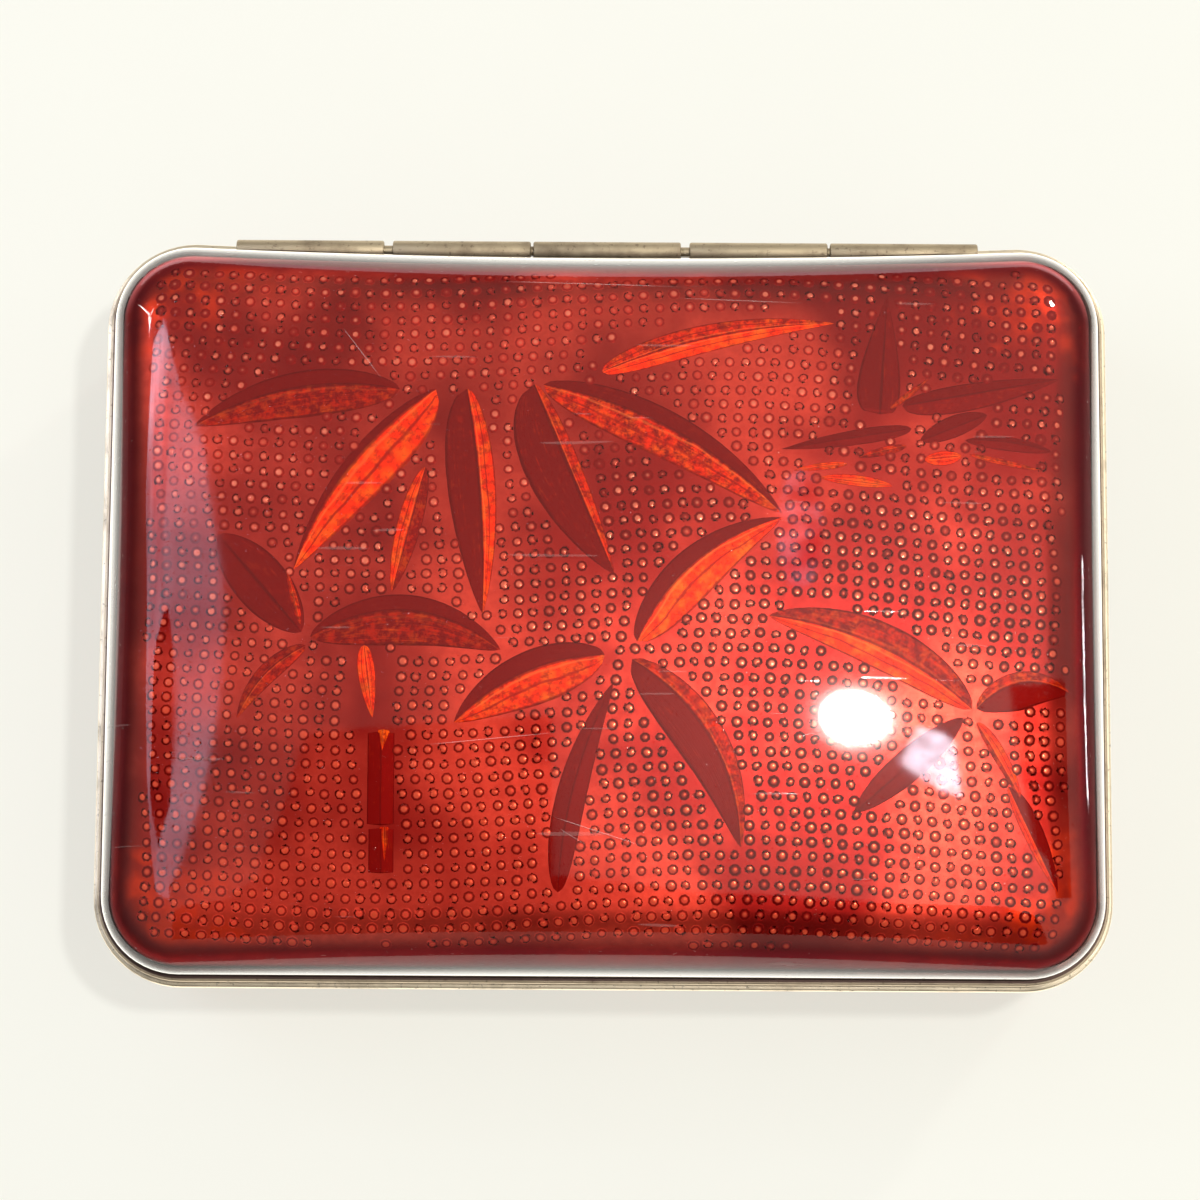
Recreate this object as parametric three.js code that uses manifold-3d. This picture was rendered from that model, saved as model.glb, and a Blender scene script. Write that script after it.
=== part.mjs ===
// A hinged keepsake box in cloisonne work, closed, standing on its flat base.
// Millimetres, +Z up, origin on the resting face under the middle of the body.
// X runs along the width, the front faces -Y and the hinge lies along the back at +Y.
import * as THREE from "three";
import { mergeVertices } from "three/addons/utils/BufferGeometryUtils.js";
import Module from "manifold-3d";

const wasm = await Module();
wasm.setup();

// Driving dimensions
const BOX_WIDTH = 114; // over the body rim, left to right
const BOX_DEPTH = 85; // over the body rim, front to back, without the hinge
const BOX_HEIGHT = 38; // resting face to the middle of the crown
const JOINT_HEIGHT = 25; // top of the body rim
const CORNER_RADIUS = 10; // plan corners, at the body rim's outside
const BACK_HOLLOW = 1; // how far the back edge is hollowed at its middle

const BODY_RIM_HEIGHT = 1.5;
const LID_RIM_HEIGHT = 1.35;
const LID_RIM_STEP = 0.55; // the lid rim is this much smaller all round than the body rim
const RIM_EDGE_CHAMFER = 0.25;
const RIM_LINING_LAP = 0.1; // how far the rims stand past the linings inside the box
const SEAM_GAP = 0.1; // between the two rims when the lid is down

const WALL_STEP = 1.2; // the enamelled walls stand this far inside the body rim
const ENAMEL_THICKNESS = 0.85;
const FOIL_THICKNESS = 0.1;
const COPPER_THICKNESS = 0.8;
const LINING_THICKNESS = 0.5;
const BOND_GAP = 0.05; // between one fired layer and the next

const LID_WALL_HEIGHT = 1.4; // upright part of the lid wall, above its rim
const LID_EDGE_WIDTH = 7; // of the rounding from the lid wall to the open crown, seen from above
const CROWN_FALL_SIDE = 2.9; // how far the crown has fallen where that rounding starts, at the left and right
const CROWN_FALL_FRONT = 2.4; // the same at the front and back
const CROWN_CORNER_LIFT = 0.4; // how much less than both together it has fallen in the corners
const BASE_EDGE_RADIUS = 6; // rounding from the body wall to the base
const BASE_SEAM_GAP = 0.05; // between the wall enamel and the base enamel

const PIN_RADIUS = 0.55;
const PIN_CLEARANCE = 0.07; // radial, in the knuckle bores
const PIN_END_RECESS = 0.15;
const BARREL_RADIUS = 1.1;
const BARREL_CLEARANCE = 0.08; // radial, in the grooves of the two rims
const BARREL_PROJECTION = 0.5; // how far the barrel stands behind the body rim
const HINGE_END_MARGIN = 14.5; // from each side of the body rim to the end of the barrel
const KNUCKLE_TRIM = 0.1; // how much shorter a body knuckle is than a fifth of the barrel
const LID_END_PLAY = 1.3; // free length beside a lid knuckle, both ends together
const LID_TIGHT_GAP = 0.3; // the part of that play on its right
const KNUCKLE_CHAMFER = 0.2;
const LID_RIM_CUT = 0.35; // the lid rim's back edge stops this far in front of the hinge line

const CORNER_STEPS = 5;
const EDGE_STEPS = 5;
const CROWN_SCALES = [0.76, 0.51, 0.26];
const ROUND_SIDES = 16;

// Sizes that follow
const FOIL_DEPTH = ENAMEL_THICKNESS + BOND_GAP;
const COPPER_DEPTH = FOIL_DEPTH + FOIL_THICKNESS + BOND_GAP;
const LINING_DEPTH = COPPER_DEPTH + COPPER_THICKNESS + BOND_GAP;
const WALL_THICKNESS = LINING_DEPTH + LINING_THICKNESS;
const BODY_WALL_TOP = JOINT_HEIGHT - BODY_RIM_HEIGHT;
const LID_RIM_BOTTOM = JOINT_HEIGHT + SEAM_GAP;
const LID_WALL_BOTTOM = LID_RIM_BOTTOM + LID_RIM_HEIGHT;
const LID_WALL_TOP = LID_WALL_BOTTOM + LID_WALL_HEIGHT;
const CROWN_INSET = WALL_STEP + LID_EDGE_WIDTH;
const HINGE_Y = BOX_DEPTH / 2 + BARREL_PROJECTION - BARREL_RADIUS;
const HINGE_Z = JOINT_HEIGHT + SEAM_GAP / 2;
const KNUCKLE_PITCH = (BOX_WIDTH - 2 * HINGE_END_MARGIN) / 5;
const BODY_KNUCKLE_LENGTH = KNUCKLE_PITCH - KNUCKLE_TRIM;
const LID_KNUCKLE_LENGTH = KNUCKLE_PITCH + KNUCKLE_TRIM - LID_END_PLAY;
const LID_KNUCKLE_SHIFT = LID_END_PLAY / 2 - LID_TIGHT_GAP;
const HINGE_LENGTH = 5 * KNUCKLE_PITCH - KNUCKLE_TRIM;
const RIM_INNER = WALL_STEP + WALL_THICKNESS + RIM_LINING_LAP;

// The plan outline, moved inwards by inset: counterclockwise from above, always the same number of points.
function outline(inset) {
  const cornerX = BOX_WIDTH / 2 - CORNER_RADIUS;
  const cornerY = BOX_DEPTH / 2 - CORNER_RADIUS;
  const radius = CORNER_RADIUS - inset;
  const points = [];
  const corner = (centreX, centreY, start) => {
    for (let i = 0; i <= CORNER_STEPS; i++) {
      const angle = start + (i / CORNER_STEPS) * (Math.PI / 2);
      points.push([centreX + radius * Math.cos(angle), centreY + radius * Math.sin(angle)]);
    }
  };
  const side = (count, place) => {
    for (let i = 1; i <= count; i++) {
      points.push(place(-1 + (2 * i) / (count + 1)));
    }
  };
  corner(cornerX, -cornerY, -Math.PI / 2);
  side(3, (u) => [BOX_WIDTH / 2 - inset, u * cornerY]);
  corner(cornerX, cornerY, 0);
  side(7, (u) => [-u * cornerX, BOX_DEPTH / 2 - inset - BACK_HOLLOW * (1 - u * u)]);
  corner(-cornerX, cornerY, Math.PI / 2);
  side(3, (u) => [-BOX_WIDTH / 2 + inset, -u * cornerY]);
  corner(-cornerX, -cornerY, Math.PI);
  side(4, (u) => [u * cornerX, -BOX_DEPTH / 2 + inset]);
  return points;
}

const ring = (inset, z) => outline(inset).map(([x, y]) => [x, y, z]);

// A closed skin through rings of equal length. With two end points the first and last ring are fanned shut;
// without them the last ring runs back to the first, which leaves the middle open.
function loft(rings, firstPoint, lastPoint) {
  const count = rings[0].length;
  const positions = rings.flat();
  const faces = [];
  const apart = (p, q) =>
    Math.hypot(...positions[p].map((value, axis) => value - positions[q][axis]));
  // Each four-sided patch is split along its shorter diagonal, so that facing layers split alike.
  const band = (a, b) => {
    for (let i = 0; i < count; i++) {
      const j = (i + 1) % count;
      const [nearI, nearJ, farI, farJ] = [a * count + i, a * count + j, b * count + i, b * count + j];
      if (apart(nearI, farJ) < apart(nearJ, farI)) {
        faces.push(nearI, farI, farJ, nearI, farJ, nearJ);
      } else {
        faces.push(nearI, farI, nearJ, nearJ, farI, farJ);
      }
    }
  };
  for (let k = 0; k + 1 < rings.length; k++) {
    band(k, k + 1);
  }
  if (firstPoint) {
    const first = positions.push(firstPoint) - 1;
    const last = positions.push(lastPoint) - 1;
    const lastRing = (rings.length - 1) * count;
    for (let i = 0; i < count; i++) {
      const j = (i + 1) % count;
      faces.push(first, i, j);
      faces.push(lastRing + i, last, lastRing + j);
    }
  } else {
    band(rings.length - 1, 0);
  }
  return new THREE.BufferGeometry()
    .setAttribute("position", new THREE.Float32BufferAttribute(positions.flat(), 3))
    .setIndex(faces);
}

// Rings of the body wall at a depth below its outer face, from the base edge up to the rim.
function bodyWall(depth) {
  const rings = [];
  for (let i = 0; i <= EDGE_STEPS; i++) {
    const angle = (1 - i / EDGE_STEPS) * (Math.PI / 2);
    const reach = BASE_EDGE_RADIUS - depth;
    rings.push(
      ring(
        WALL_STEP + BASE_EDGE_RADIUS - reach * Math.cos(angle),
        BASE_EDGE_RADIUS - reach * Math.sin(angle),
      ),
    );
  }
  rings.push(ring(WALL_STEP + depth, BODY_WALL_TOP));
  return rings;
}

// A layer of the body that covers its wall and floor, between two depths.
function bodyPan(outerDepth, thickness) {
  const innerDepth = outerDepth + thickness;
  return loft(
    [...bodyWall(innerDepth), ...bodyWall(outerDepth).reverse()],
    [0, 0, innerDepth],
    [0, 0, outerDepth],
  );
}

// A layer of the body that covers its wall only.
function bodySkin(outerDepth, thickness) {
  return loft([...bodyWall(outerDepth + thickness), ...bodyWall(outerDepth).reverse()]);
}

// The height of the crown over a point of the plan.
function crown(x, y) {
  const acrossX = x / (BOX_WIDTH / 2 - CROWN_INSET);
  const acrossY = y / (BOX_DEPTH / 2 - CROWN_INSET);
  const fall = CROWN_FALL_SIDE * acrossX ** 2 + CROWN_FALL_FRONT * acrossY ** 2;
  return BOX_HEIGHT - fall + CROWN_CORNER_LIFT * (acrossX * acrossY) ** 2;
}

// Rings of the lid at a depth below its outer face, from the rim up over the rounding to the crown.
function lidSurface(depth) {
  const rings = [ring(WALL_STEP + depth, LID_WALL_BOTTOM)];
  for (let i = 0; i <= EDGE_STEPS; i++) {
    const angle = (i / EDGE_STEPS) * (Math.PI / 2);
    const inset = CROWN_INSET - (LID_EDGE_WIDTH - depth) * Math.cos(angle);
    const height = (x, y) => crown(x, y) - depth - LID_WALL_TOP;
    rings.push(
      outline(inset).map(([x, y]) => [x, y, LID_WALL_TOP + height(x, y) * Math.sin(angle)]),
    );
  }
  const edge = rings.at(-1);
  for (const scale of CROWN_SCALES) {
    rings.push(edge.map(([x, y]) => [x * scale, y * scale, crown(x * scale, y * scale) - depth]));
  }
  return { rings, top: [0, 0, BOX_HEIGHT - depth] };
}

// A layer of the lid, between two depths.
function lidPan(outerDepth, thickness) {
  const outer = lidSurface(outerDepth);
  const inner = lidSurface(outerDepth + thickness);
  return loft([...outer.rings.reverse(), ...inner.rings], outer.top, inner.top);
}

// A metal band round a mouth, its two outer edges eased.
function rimBand(outerInset, bottom, height) {
  const top = bottom + height;
  return loft([
    ring(RIM_INNER, bottom),
    ring(RIM_INNER, top),
    ring(outerInset + RIM_EDGE_CHAMFER, top),
    ring(outerInset, top - RIM_EDGE_CHAMFER),
    ring(outerInset, bottom + RIM_EDGE_CHAMFER),
    ring(outerInset + RIM_EDGE_CHAMFER, bottom),
  ]);
}

function solid(geometry) {
  const plain = geometry.clone();
  plain.deleteAttribute("normal");
  plain.deleteAttribute("uv");
  const merged = mergeVertices(plain, 1e-4);
  return new wasm.Manifold(
    new wasm.Mesh({
      numProp: 3,
      vertProperties: merged.attributes.position.array,
      triVerts: new Uint32Array(merged.index.array),
    }),
  );
}

function geometryOf(manifold) {
  const mesh = manifold.getMesh();
  return new THREE.BufferGeometry()
    .setAttribute("position", new THREE.BufferAttribute(mesh.vertProperties, 3))
    .setIndex(new THREE.BufferAttribute(mesh.triVerts, 1));
}

// A round bar along the hinge line.
function hingeBar(radius, length, middleX) {
  return new THREE.CylinderGeometry(radius, radius, length, ROUND_SIDES)
    .rotateZ(-Math.PI / 2)
    .translate(middleX, HINGE_Y, HINGE_Z);
}

// A length of hinge barrel, bored for the pin.
function knuckle(length, middleX) {
  const bore = PIN_RADIUS + PIN_CLEARANCE;
  const half = length / 2;
  const profile = [
    [bore, -half],
    [BARREL_RADIUS - KNUCKLE_CHAMFER, -half],
    [BARREL_RADIUS, -half + KNUCKLE_CHAMFER],
    [BARREL_RADIUS, half - KNUCKLE_CHAMFER],
    [BARREL_RADIUS - KNUCKLE_CHAMFER, half],
    [bore, half],
    [bore, -half],
  ].map(([r, z]) => new THREE.Vector2(r, z));
  return new THREE.LatheGeometry(profile, ROUND_SIDES)
    .rotateZ(-Math.PI / 2)
    .translate(middleX, HINGE_Y, HINGE_Z);
}

// The barrel lies in a groove that runs along the back of both rims.
const grooveLength = HINGE_LENGTH + 2 * BARREL_CLEARANCE;
const groove = solid(hingeBar(BARREL_RADIUS + BARREL_CLEARANCE, grooveLength, 0));
const bodyRim = solid(rimBand(0, BODY_WALL_TOP, BODY_RIM_HEIGHT)).subtract(groove);

// The lid rim's back edge is cut straight, so that it clears the body rim as the lid turns.
const cutDepth = 10;
const backCut = solid(
  new THREE.BoxGeometry(BOX_WIDTH, cutDepth, cutDepth).translate(
    0,
    HINGE_Y - LID_RIM_CUT + cutDepth / 2,
    LID_RIM_BOTTOM,
  ),
);
const lidRim = solid(rimBand(LID_RIM_STEP, LID_RIM_BOTTOM, LID_RIM_HEIGHT))
  .subtract(groove)
  .subtract(backCut);

const metal = (color, roughness) => new THREE.MeshStandardMaterial({ color, roughness, metalness: 1 });
const glaze = (color, roughness) => new THREE.MeshStandardMaterial({ color, roughness, metalness: 0 });
const RED_ENAMEL = glaze(0x8e0d10, 0.12);
const BASE_ENAMEL = glaze(0x15171c, 0.25);
const LINING_ENAMEL = glaze(0x1d3f5e, 0.2);
const FOIL = metal(0xd8d2c6, 0.3);
const COPPER = metal(0xb06a45, 0.4);
const LID_RIM_METAL = metal(0xc2bcae, 0.35);
const BRASS = metal(0xb59c6b, 0.4);

const box = new THREE.Group();
box.name = "cloisonne_box";
function piece(name, geometry, material) {
  const mesh = new THREE.Mesh(geometry, material);
  mesh.name = name;
  box.add(mesh);
}

piece("body_copper_pan", bodyPan(COPPER_DEPTH, COPPER_THICKNESS), COPPER);
piece("body_embossed_foil", bodySkin(FOIL_DEPTH, FOIL_THICKNESS), FOIL);
piece("body_red_enamel", bodySkin(0, ENAMEL_THICKNESS), RED_ENAMEL);
piece("body_lining_enamel", bodyPan(LINING_DEPTH, LINING_THICKNESS), LINING_ENAMEL);
const baseTop = COPPER_DEPTH - BOND_GAP;
const baseInset = WALL_STEP + BASE_EDGE_RADIUS + BASE_SEAM_GAP;
piece(
  "body_base_enamel",
  loft([ring(baseInset, baseTop), ring(baseInset, 0)], [0, 0, baseTop], [0, 0, 0]),
  BASE_ENAMEL,
);
piece("body_rim", geometryOf(bodyRim), BRASS);

piece("lid_copper_pan", lidPan(COPPER_DEPTH, COPPER_THICKNESS), COPPER);
piece("lid_embossed_foil", lidPan(FOIL_DEPTH, FOIL_THICKNESS), FOIL);
piece("lid_red_enamel", lidPan(0, ENAMEL_THICKNESS), RED_ENAMEL);
piece("lid_lining_enamel", lidPan(LINING_DEPTH, LINING_THICKNESS), LINING_ENAMEL);
piece("lid_rim", geometryOf(lidRim), LID_RIM_METAL);

piece("body_knuckle_left", knuckle(BODY_KNUCKLE_LENGTH, -2 * KNUCKLE_PITCH), BRASS);
piece("lid_knuckle_left", knuckle(LID_KNUCKLE_LENGTH, -KNUCKLE_PITCH + LID_KNUCKLE_SHIFT), BRASS);
piece("body_knuckle_centre", knuckle(BODY_KNUCKLE_LENGTH, 0), BRASS);
piece("lid_knuckle_right", knuckle(LID_KNUCKLE_LENGTH, KNUCKLE_PITCH + LID_KNUCKLE_SHIFT), BRASS);
piece("body_knuckle_right", knuckle(BODY_KNUCKLE_LENGTH, 2 * KNUCKLE_PITCH), BRASS);
piece("hinge_pin", hingeBar(PIN_RADIUS, HINGE_LENGTH - 2 * PIN_END_RECESS, 0), BRASS);

export default box;
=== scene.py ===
"""A hinged keepsake box in clear red enamel over embossed foil, dressed for rendering.

Metres, +Z up. The box stands on the origin, its front towards -Y and its hinge at the back.
"""
import math
import random

import bmesh
import bpy
from bpy.props import FloatProperty, FloatVectorProperty, IntProperty, PointerProperty
from mathutils import Matrix, Vector


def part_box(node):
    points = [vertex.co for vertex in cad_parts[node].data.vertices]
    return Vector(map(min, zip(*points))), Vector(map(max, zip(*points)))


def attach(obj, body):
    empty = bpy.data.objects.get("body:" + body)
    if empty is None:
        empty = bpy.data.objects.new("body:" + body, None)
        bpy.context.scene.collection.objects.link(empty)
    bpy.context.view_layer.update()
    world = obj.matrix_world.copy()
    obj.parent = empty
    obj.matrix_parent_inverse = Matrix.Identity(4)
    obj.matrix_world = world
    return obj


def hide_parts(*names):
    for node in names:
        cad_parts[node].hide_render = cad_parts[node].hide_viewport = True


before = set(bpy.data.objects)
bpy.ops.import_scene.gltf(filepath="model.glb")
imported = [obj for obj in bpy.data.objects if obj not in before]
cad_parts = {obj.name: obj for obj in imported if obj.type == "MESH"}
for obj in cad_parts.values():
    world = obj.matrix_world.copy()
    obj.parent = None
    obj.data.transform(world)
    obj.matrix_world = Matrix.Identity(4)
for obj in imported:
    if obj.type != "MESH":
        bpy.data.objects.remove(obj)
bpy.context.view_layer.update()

bl_info = {
    "name": "Enamelled Keepsake Box",
    "version": (1, 0, 0),
    "blender": (4, 5, 0),
    "location": "View3D > Sidebar > Keepsake Box",
    "description": "Dresses a hinged box in clear enamel over stippled foil, with its rims, barrel and linings",
    "category": "Object",
}

MM = 0.001

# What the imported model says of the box, so that every dressed piece lies where its solid does.
RIM_LOW, RIM_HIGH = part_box("body_rim")
WALL_LOW, WALL_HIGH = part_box("body_red_enamel")
LID_LOW, LID_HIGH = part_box("lid_red_enamel")
LID_RIM_LOW, LID_RIM_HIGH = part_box("lid_rim")
BARREL_LOW, BARREL_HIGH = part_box("body_knuckle_centre")
PIN_LOW, PIN_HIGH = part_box("hinge_pin")
BASE_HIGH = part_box("body_base_enamel")[1]

# Room between the parts, and easings of small edges.
GROOVE_CLEARANCE = 0.08 * MM
GROOVE_END_PLAY = 0.23 * MM
BORE_CLEARANCE = 0.07 * MM
BASE_GAP = 0.05 * MM
COPPER_GAP = 0.02 * MM
KNUCKLE_EASING = 0.2 * MM
BASE_EASING = 0.2 * MM
PIN_CHAMFER = 0.08 * MM
# Where the middle point of an eased edge lies, as a share of the easing.
EASED_MIDDLE = 0.3

# How finely forms are divided.
CORNER_STEPS = 14
SIDE_STEPS = 13
BACK_STEPS = 27
FRONT_STEPS = 19
EDGE_STEPS = 14
GROOVE_SIDES = 48
KNUCKLE_SIDES = 40
PIN_SIDES = 32
# A ring on the flat base, and those of the crown, as shares of the way out from the middle.
BASE_RING = 0.9
CROWN_SCALES = (0.975, 0.94, 0.89, 0.82, 0.74, 0.65, 0.56, 0.47, 0.38, 0.29, 0.2, 0.11, 0.04)
SHARP_ANGLE = math.radians(35)
# Below which distance points are one, and an edge is none; the wider one is for the ends of a full spin.
MERGE_DISTANCE = 1e-7
SPIN_MERGE_DISTANCE = 1e-6
NO_LENGTH = 1e-8


# Sizes and colours that a user would change

def length(name, description, default):
    """A size in metres."""
    return FloatProperty(name=name, description=description, default=default, unit="LENGTH", precision=5)


def colour(name, description, default):
    """A colour, linear red, green and blue."""
    return FloatVectorProperty(
        name=name, description=description, default=default, subtype="COLOR", size=3, min=0, max=1,
    )


class BoxSizes(bpy.types.PropertyGroup):
    """The form of the box and of the layers that its walls are made of."""

    width: length("Width", "Over the body rim, left to right", RIM_HIGH.x - RIM_LOW.x)
    depth: length("Depth", "Over the body rim, front to back", RIM_HIGH.y - RIM_LOW.y)
    corner_radius: length("Corner Radius", "Plan corners, at the body rim's outside", 10 * MM)
    back_hollow: length("Back Hollow", "How far the back edge is hollowed at its middle", 1 * MM)
    wall_step: length("Wall Step", "How far the enamelled walls stand inside the body rim", WALL_LOW.x - RIM_LOW.x)
    lid_edge_width: length("Lid Edge Width", "The rounding from the lid's wall to its crown, seen from above", 7 * MM)
    crown_fall_side: length(
        "Crown Fall, Sides", "How far the crown has fallen where the rounding starts, at the sides", 2.9 * MM,
    )
    crown_fall_front: length("Crown Fall, Front", "The same at the front and back", 2.4 * MM)
    crown_corner_lift: length(
        "Crown Corner Lift", "How much less than both together it has fallen in the corners", 0.4 * MM,
    )
    lid_wall_height: length("Lid Wall Height", "Upright part of the lid's wall, above its rim", 1.4 * MM)
    base_edge_radius: length("Base Edge Radius", "Rounding from the body's wall to its base", 6 * MM)
    enamel: length("Enamel", "Thickness of the clear enamel over the foil", 0.85 * MM)
    foil_depth: length("Foil Depth", "How far the plain foil lies below the enamel's surface", 1.0 * MM)
    foil: length("Foil", "Thickness of the foil", 0.03 * MM)
    lining_depth: length(
        "Lining Depth", "How far the lining's hidden side lies below the enamel's surface", 1.9 * MM,
    )
    lining: length("Lining", "Thickness of the enamel inside the box", 0.5 * MM)
    rim_lap: length("Rim Lap", "How far the rims stand past the linings inside the box", 0.1 * MM)
    rim_edge: length("Rim Edge", "Easing of the rims' outer edges", 0.25 * MM)


class StippleSizes(bpy.types.PropertyGroup):
    """The stippled ground pressed into the foil."""

    pitch: length("Pitch", "From one boss to the next along a row", 1.7 * MM)
    row_pitch: length("Row Pitch", "From one row of bosses to the next", 1.62 * MM)
    radius: length("Boss Radius", "Radius of one boss at its foot", 0.71 * MM)
    height: length("Boss Height", "How far a boss stands out of the foil", 0.12 * MM)
    wander: length("Wander", "How far a boss strays from its place in the row", 0.09 * MM)
    border: length("Border", "Plain foil between the body rim's outline and the first bosses", 4.4 * MM)
    side_border: length("Side Border", "The same at the two short sides", 6.0 * MM)
    clearance: length("Clearance", "Plain foil left round a leaf", 0.12 * MM)
    seed: IntProperty(name="Seed", description="Which scatter of the bosses is used", default=7)


class Finishes(bpy.types.PropertyGroup):
    """Colours of the foil, the enamels and the metals."""

    foil_deep: colour("Deep Foil", "Foil under thick enamel", (0.26, 0.010, 0.008))
    foil_warm: colour("Warm Foil", "Foil under thin enamel", (0.70, 0.068, 0.040))
    # Painted light and shade: these two colours stand for leaf halves turned from the light and towards it.
    leaf_painted_shade: colour("Dark Leaf", "The leaf halves that lean away from the light", (0.22, 0.005, 0.004))
    leaf_painted_light: colour("Bright Leaf", "The leaf halves that catch the light", (1.0, 0.036, 0.003))
    enamel_deep: colour(
        "Enamel, Deep", "Tint of the clear enamel where the view runs along it", (0.42, 0.012, 0.018),
    )
    enamel_tint: colour("Enamel Tint", "What the clear enamel lets through", (1.0, 0.9, 0.88))
    lid_rim: colour("Lid Rim", "Worn plating of the lid's rim", (0.62, 0.50, 0.36))
    brass: colour("Brass", "Body rim", (0.92, 0.79, 0.60))
    barrel: colour("Barrel", "Dull brass of the hinge barrel", (0.47, 0.39, 0.27))
    tarnish: colour("Tarnish", "Darkened metal in the corners and seams", (0.12, 0.08, 0.05))
    lining: colour("Lining", "Enamel inside the box", (0.012, 0.035, 0.075))
    base: colour("Base", "Enamel under the box", (0.008, 0.009, 0.012))
    copper: colour("Copper", "The beaten pans between the enamels", (0.72, 0.32, 0.18))


class StudioSettings(bpy.types.PropertyGroup):
    """Camera, lamps and ground."""

    camera_elevation: FloatProperty(
        name="Elevation", description="Height of the camera above the horizon",
        default=math.radians(81), subtype="ANGLE",
    )
    camera_distance: length("Distance", "From the camera to the middle of the joint", 0.45)
    camera_roll: FloatProperty(
        name="Roll", description="How far the camera is turned about its own line of sight",
        default=math.radians(0.35), subtype="ANGLE",
    )
    view_width: length("View Width", "Width of the picture at that distance", 0.13575)
    window_strength: FloatProperty(
        name="Window", description="How bright the window at the left is", default=2.6,
    )
    lamp_strength: FloatProperty(
        name="Ceiling Lamp", description="Power of the small lamp overhead, in watts", default=4.4,
    )
    air_strength: FloatProperty(
        name="Room", description="How bright the room overhead is", default=0.38,
    )
    paper_reach: length(
        "Paper Reach", "How far the pale paper goes to each side in what the polish mirrors", 0.14,
    )
    paper_shift: length("Paper Shift", "How far the paper's middle lies to the left of the box", 0.02)
    ground: colour("Ground", "Paper that the box stands on", (0.86, 0.90, 0.87))


# Forms shared by several pieces

def plan_outline(box, inset):
    """Points round the box in plan, moved inwards, anticlockwise from the front right corner."""
    corner_x = box.width / 2 - box.corner_radius
    corner_y = box.depth / 2 - box.corner_radius
    radius = box.corner_radius - inset
    points = []

    def corner(centre_x, centre_y, start):
        for step in range(CORNER_STEPS + 1):
            angle = start + step / CORNER_STEPS * math.pi / 2
            points.append((centre_x + radius * math.cos(angle), centre_y + radius * math.sin(angle)))

    def side(count, place):
        for step in range(1, count + 1):
            points.append(place(-1 + 2 * step / (count + 1)))

    corner(corner_x, -corner_y, -math.pi / 2)
    side(SIDE_STEPS, lambda u: (box.width / 2 - inset, u * corner_y))
    corner(corner_x, corner_y, 0)
    side(BACK_STEPS, lambda u: (-u * corner_x, box.depth / 2 - inset - box.back_hollow * (1 - u * u)))
    corner(-corner_x, corner_y, math.pi / 2)
    side(SIDE_STEPS, lambda u: (-box.width / 2 + inset, -u * corner_y))
    corner(-corner_x, -corner_y, math.pi)
    side(FRONT_STEPS, lambda u: (u * corner_x, -box.depth / 2 + inset))
    return points


def level_ring(box, inset, height):
    """The plan outline, moved inwards and laid at a height."""
    return [Vector((x, y, height)) for x, y in plan_outline(box, inset)]


def hollow_at(box, x, y):
    """How far the back edge is drawn in at this x; nothing in the front half."""
    if y <= 0:
        return 0.0
    corner_x = box.width / 2 - box.corner_radius
    return box.back_hollow * max(0.0, 1 - (x / corner_x) ** 2)


def edge_distance(box, x, y):
    """How far a point of the plan lies inside the body rim's outline."""
    across_x = abs(x) - (box.width / 2 - box.corner_radius)
    across_y = abs(y) + hollow_at(box, x, y) - (box.depth / 2 - box.corner_radius)
    if across_x > 0 and across_y > 0:
        return box.corner_radius - math.hypot(across_x, across_y)
    return box.corner_radius - max(across_x, across_y)


def crown_height(box, x, y):
    """The height of the crown over a point of the plan."""
    inset = box.wall_step + box.lid_edge_width
    across_x = x / (box.width / 2 - inset)
    across_y = y / (box.depth / 2 - inset)
    fall = box.crown_fall_side * across_x ** 2 + box.crown_fall_front * across_y ** 2
    return LID_HIGH.z - fall + box.crown_corner_lift * (across_x * across_y) ** 2


def lid_height(box, x, y, depth, climb):
    """The height of the lid over a point of the plan, climb being 0 on the wall's top and 1 on the open crown."""
    wall_top = LID_LOW.z + box.lid_wall_height
    return wall_top + (crown_height(box, x, y) - depth - wall_top) * climb


def lid_rings(box, depth):
    """Loops of the lid at a depth below its outer face, from the rim to the top, and the top point."""
    rings = [level_ring(box, box.wall_step + depth, LID_LOW.z)]
    for step in range(EDGE_STEPS + 1):
        angle = step / EDGE_STEPS * math.pi / 2
        inset = box.wall_step + box.lid_edge_width - (box.lid_edge_width - depth) * math.cos(angle)
        rings.append([
            Vector((x, y, lid_height(box, x, y, depth, math.sin(angle))))
            for x, y in plan_outline(box, inset)
        ])
    edge = rings[-1]
    for scale in CROWN_SCALES:
        rings.append([
            Vector((p.x * scale, p.y * scale, crown_height(box, p.x * scale, p.y * scale) - depth))
            for p in edge
        ])
    return rings, Vector((0, 0, LID_HIGH.z - depth))


def lid_point(box, x, y, depth):
    """The point of the lid over a point of the plan, at a depth below the outer face."""
    reach = box.lid_edge_width - depth
    past = (box.wall_step + box.lid_edge_width - edge_distance(box, x, y)) / reach
    climb = math.sqrt(1 - min(1.0, max(0.0, past)) ** 2)
    return Vector((x, y, lid_height(box, x, y, depth, climb)))


def lid_normal(box, x, y, depth):
    """Which way the lid faces over a point of the plan."""
    step = 0.2 * MM
    along_x = lid_point(box, x + step, y, depth) - lid_point(box, x - step, y, depth)
    along_y = lid_point(box, x, y + step, depth) - lid_point(box, x, y - step, depth)
    return along_x.cross(along_y).normalized()


def wall_rings(box, depth):
    """Loops of the body's wall at a depth below its outer face, from the base's edge up to the rim."""
    reach = box.base_edge_radius - depth
    rings = []
    for step in range(EDGE_STEPS + 1):
        angle = (1 - step / EDGE_STEPS) * math.pi / 2
        rings.append(level_ring(
            box,
            box.wall_step + box.base_edge_radius - reach * math.cos(angle),
            box.base_edge_radius - reach * math.sin(angle),
        ))
    rings.append(level_ring(box, box.wall_step + depth, WALL_HIGH.z))
    return rings


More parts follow.
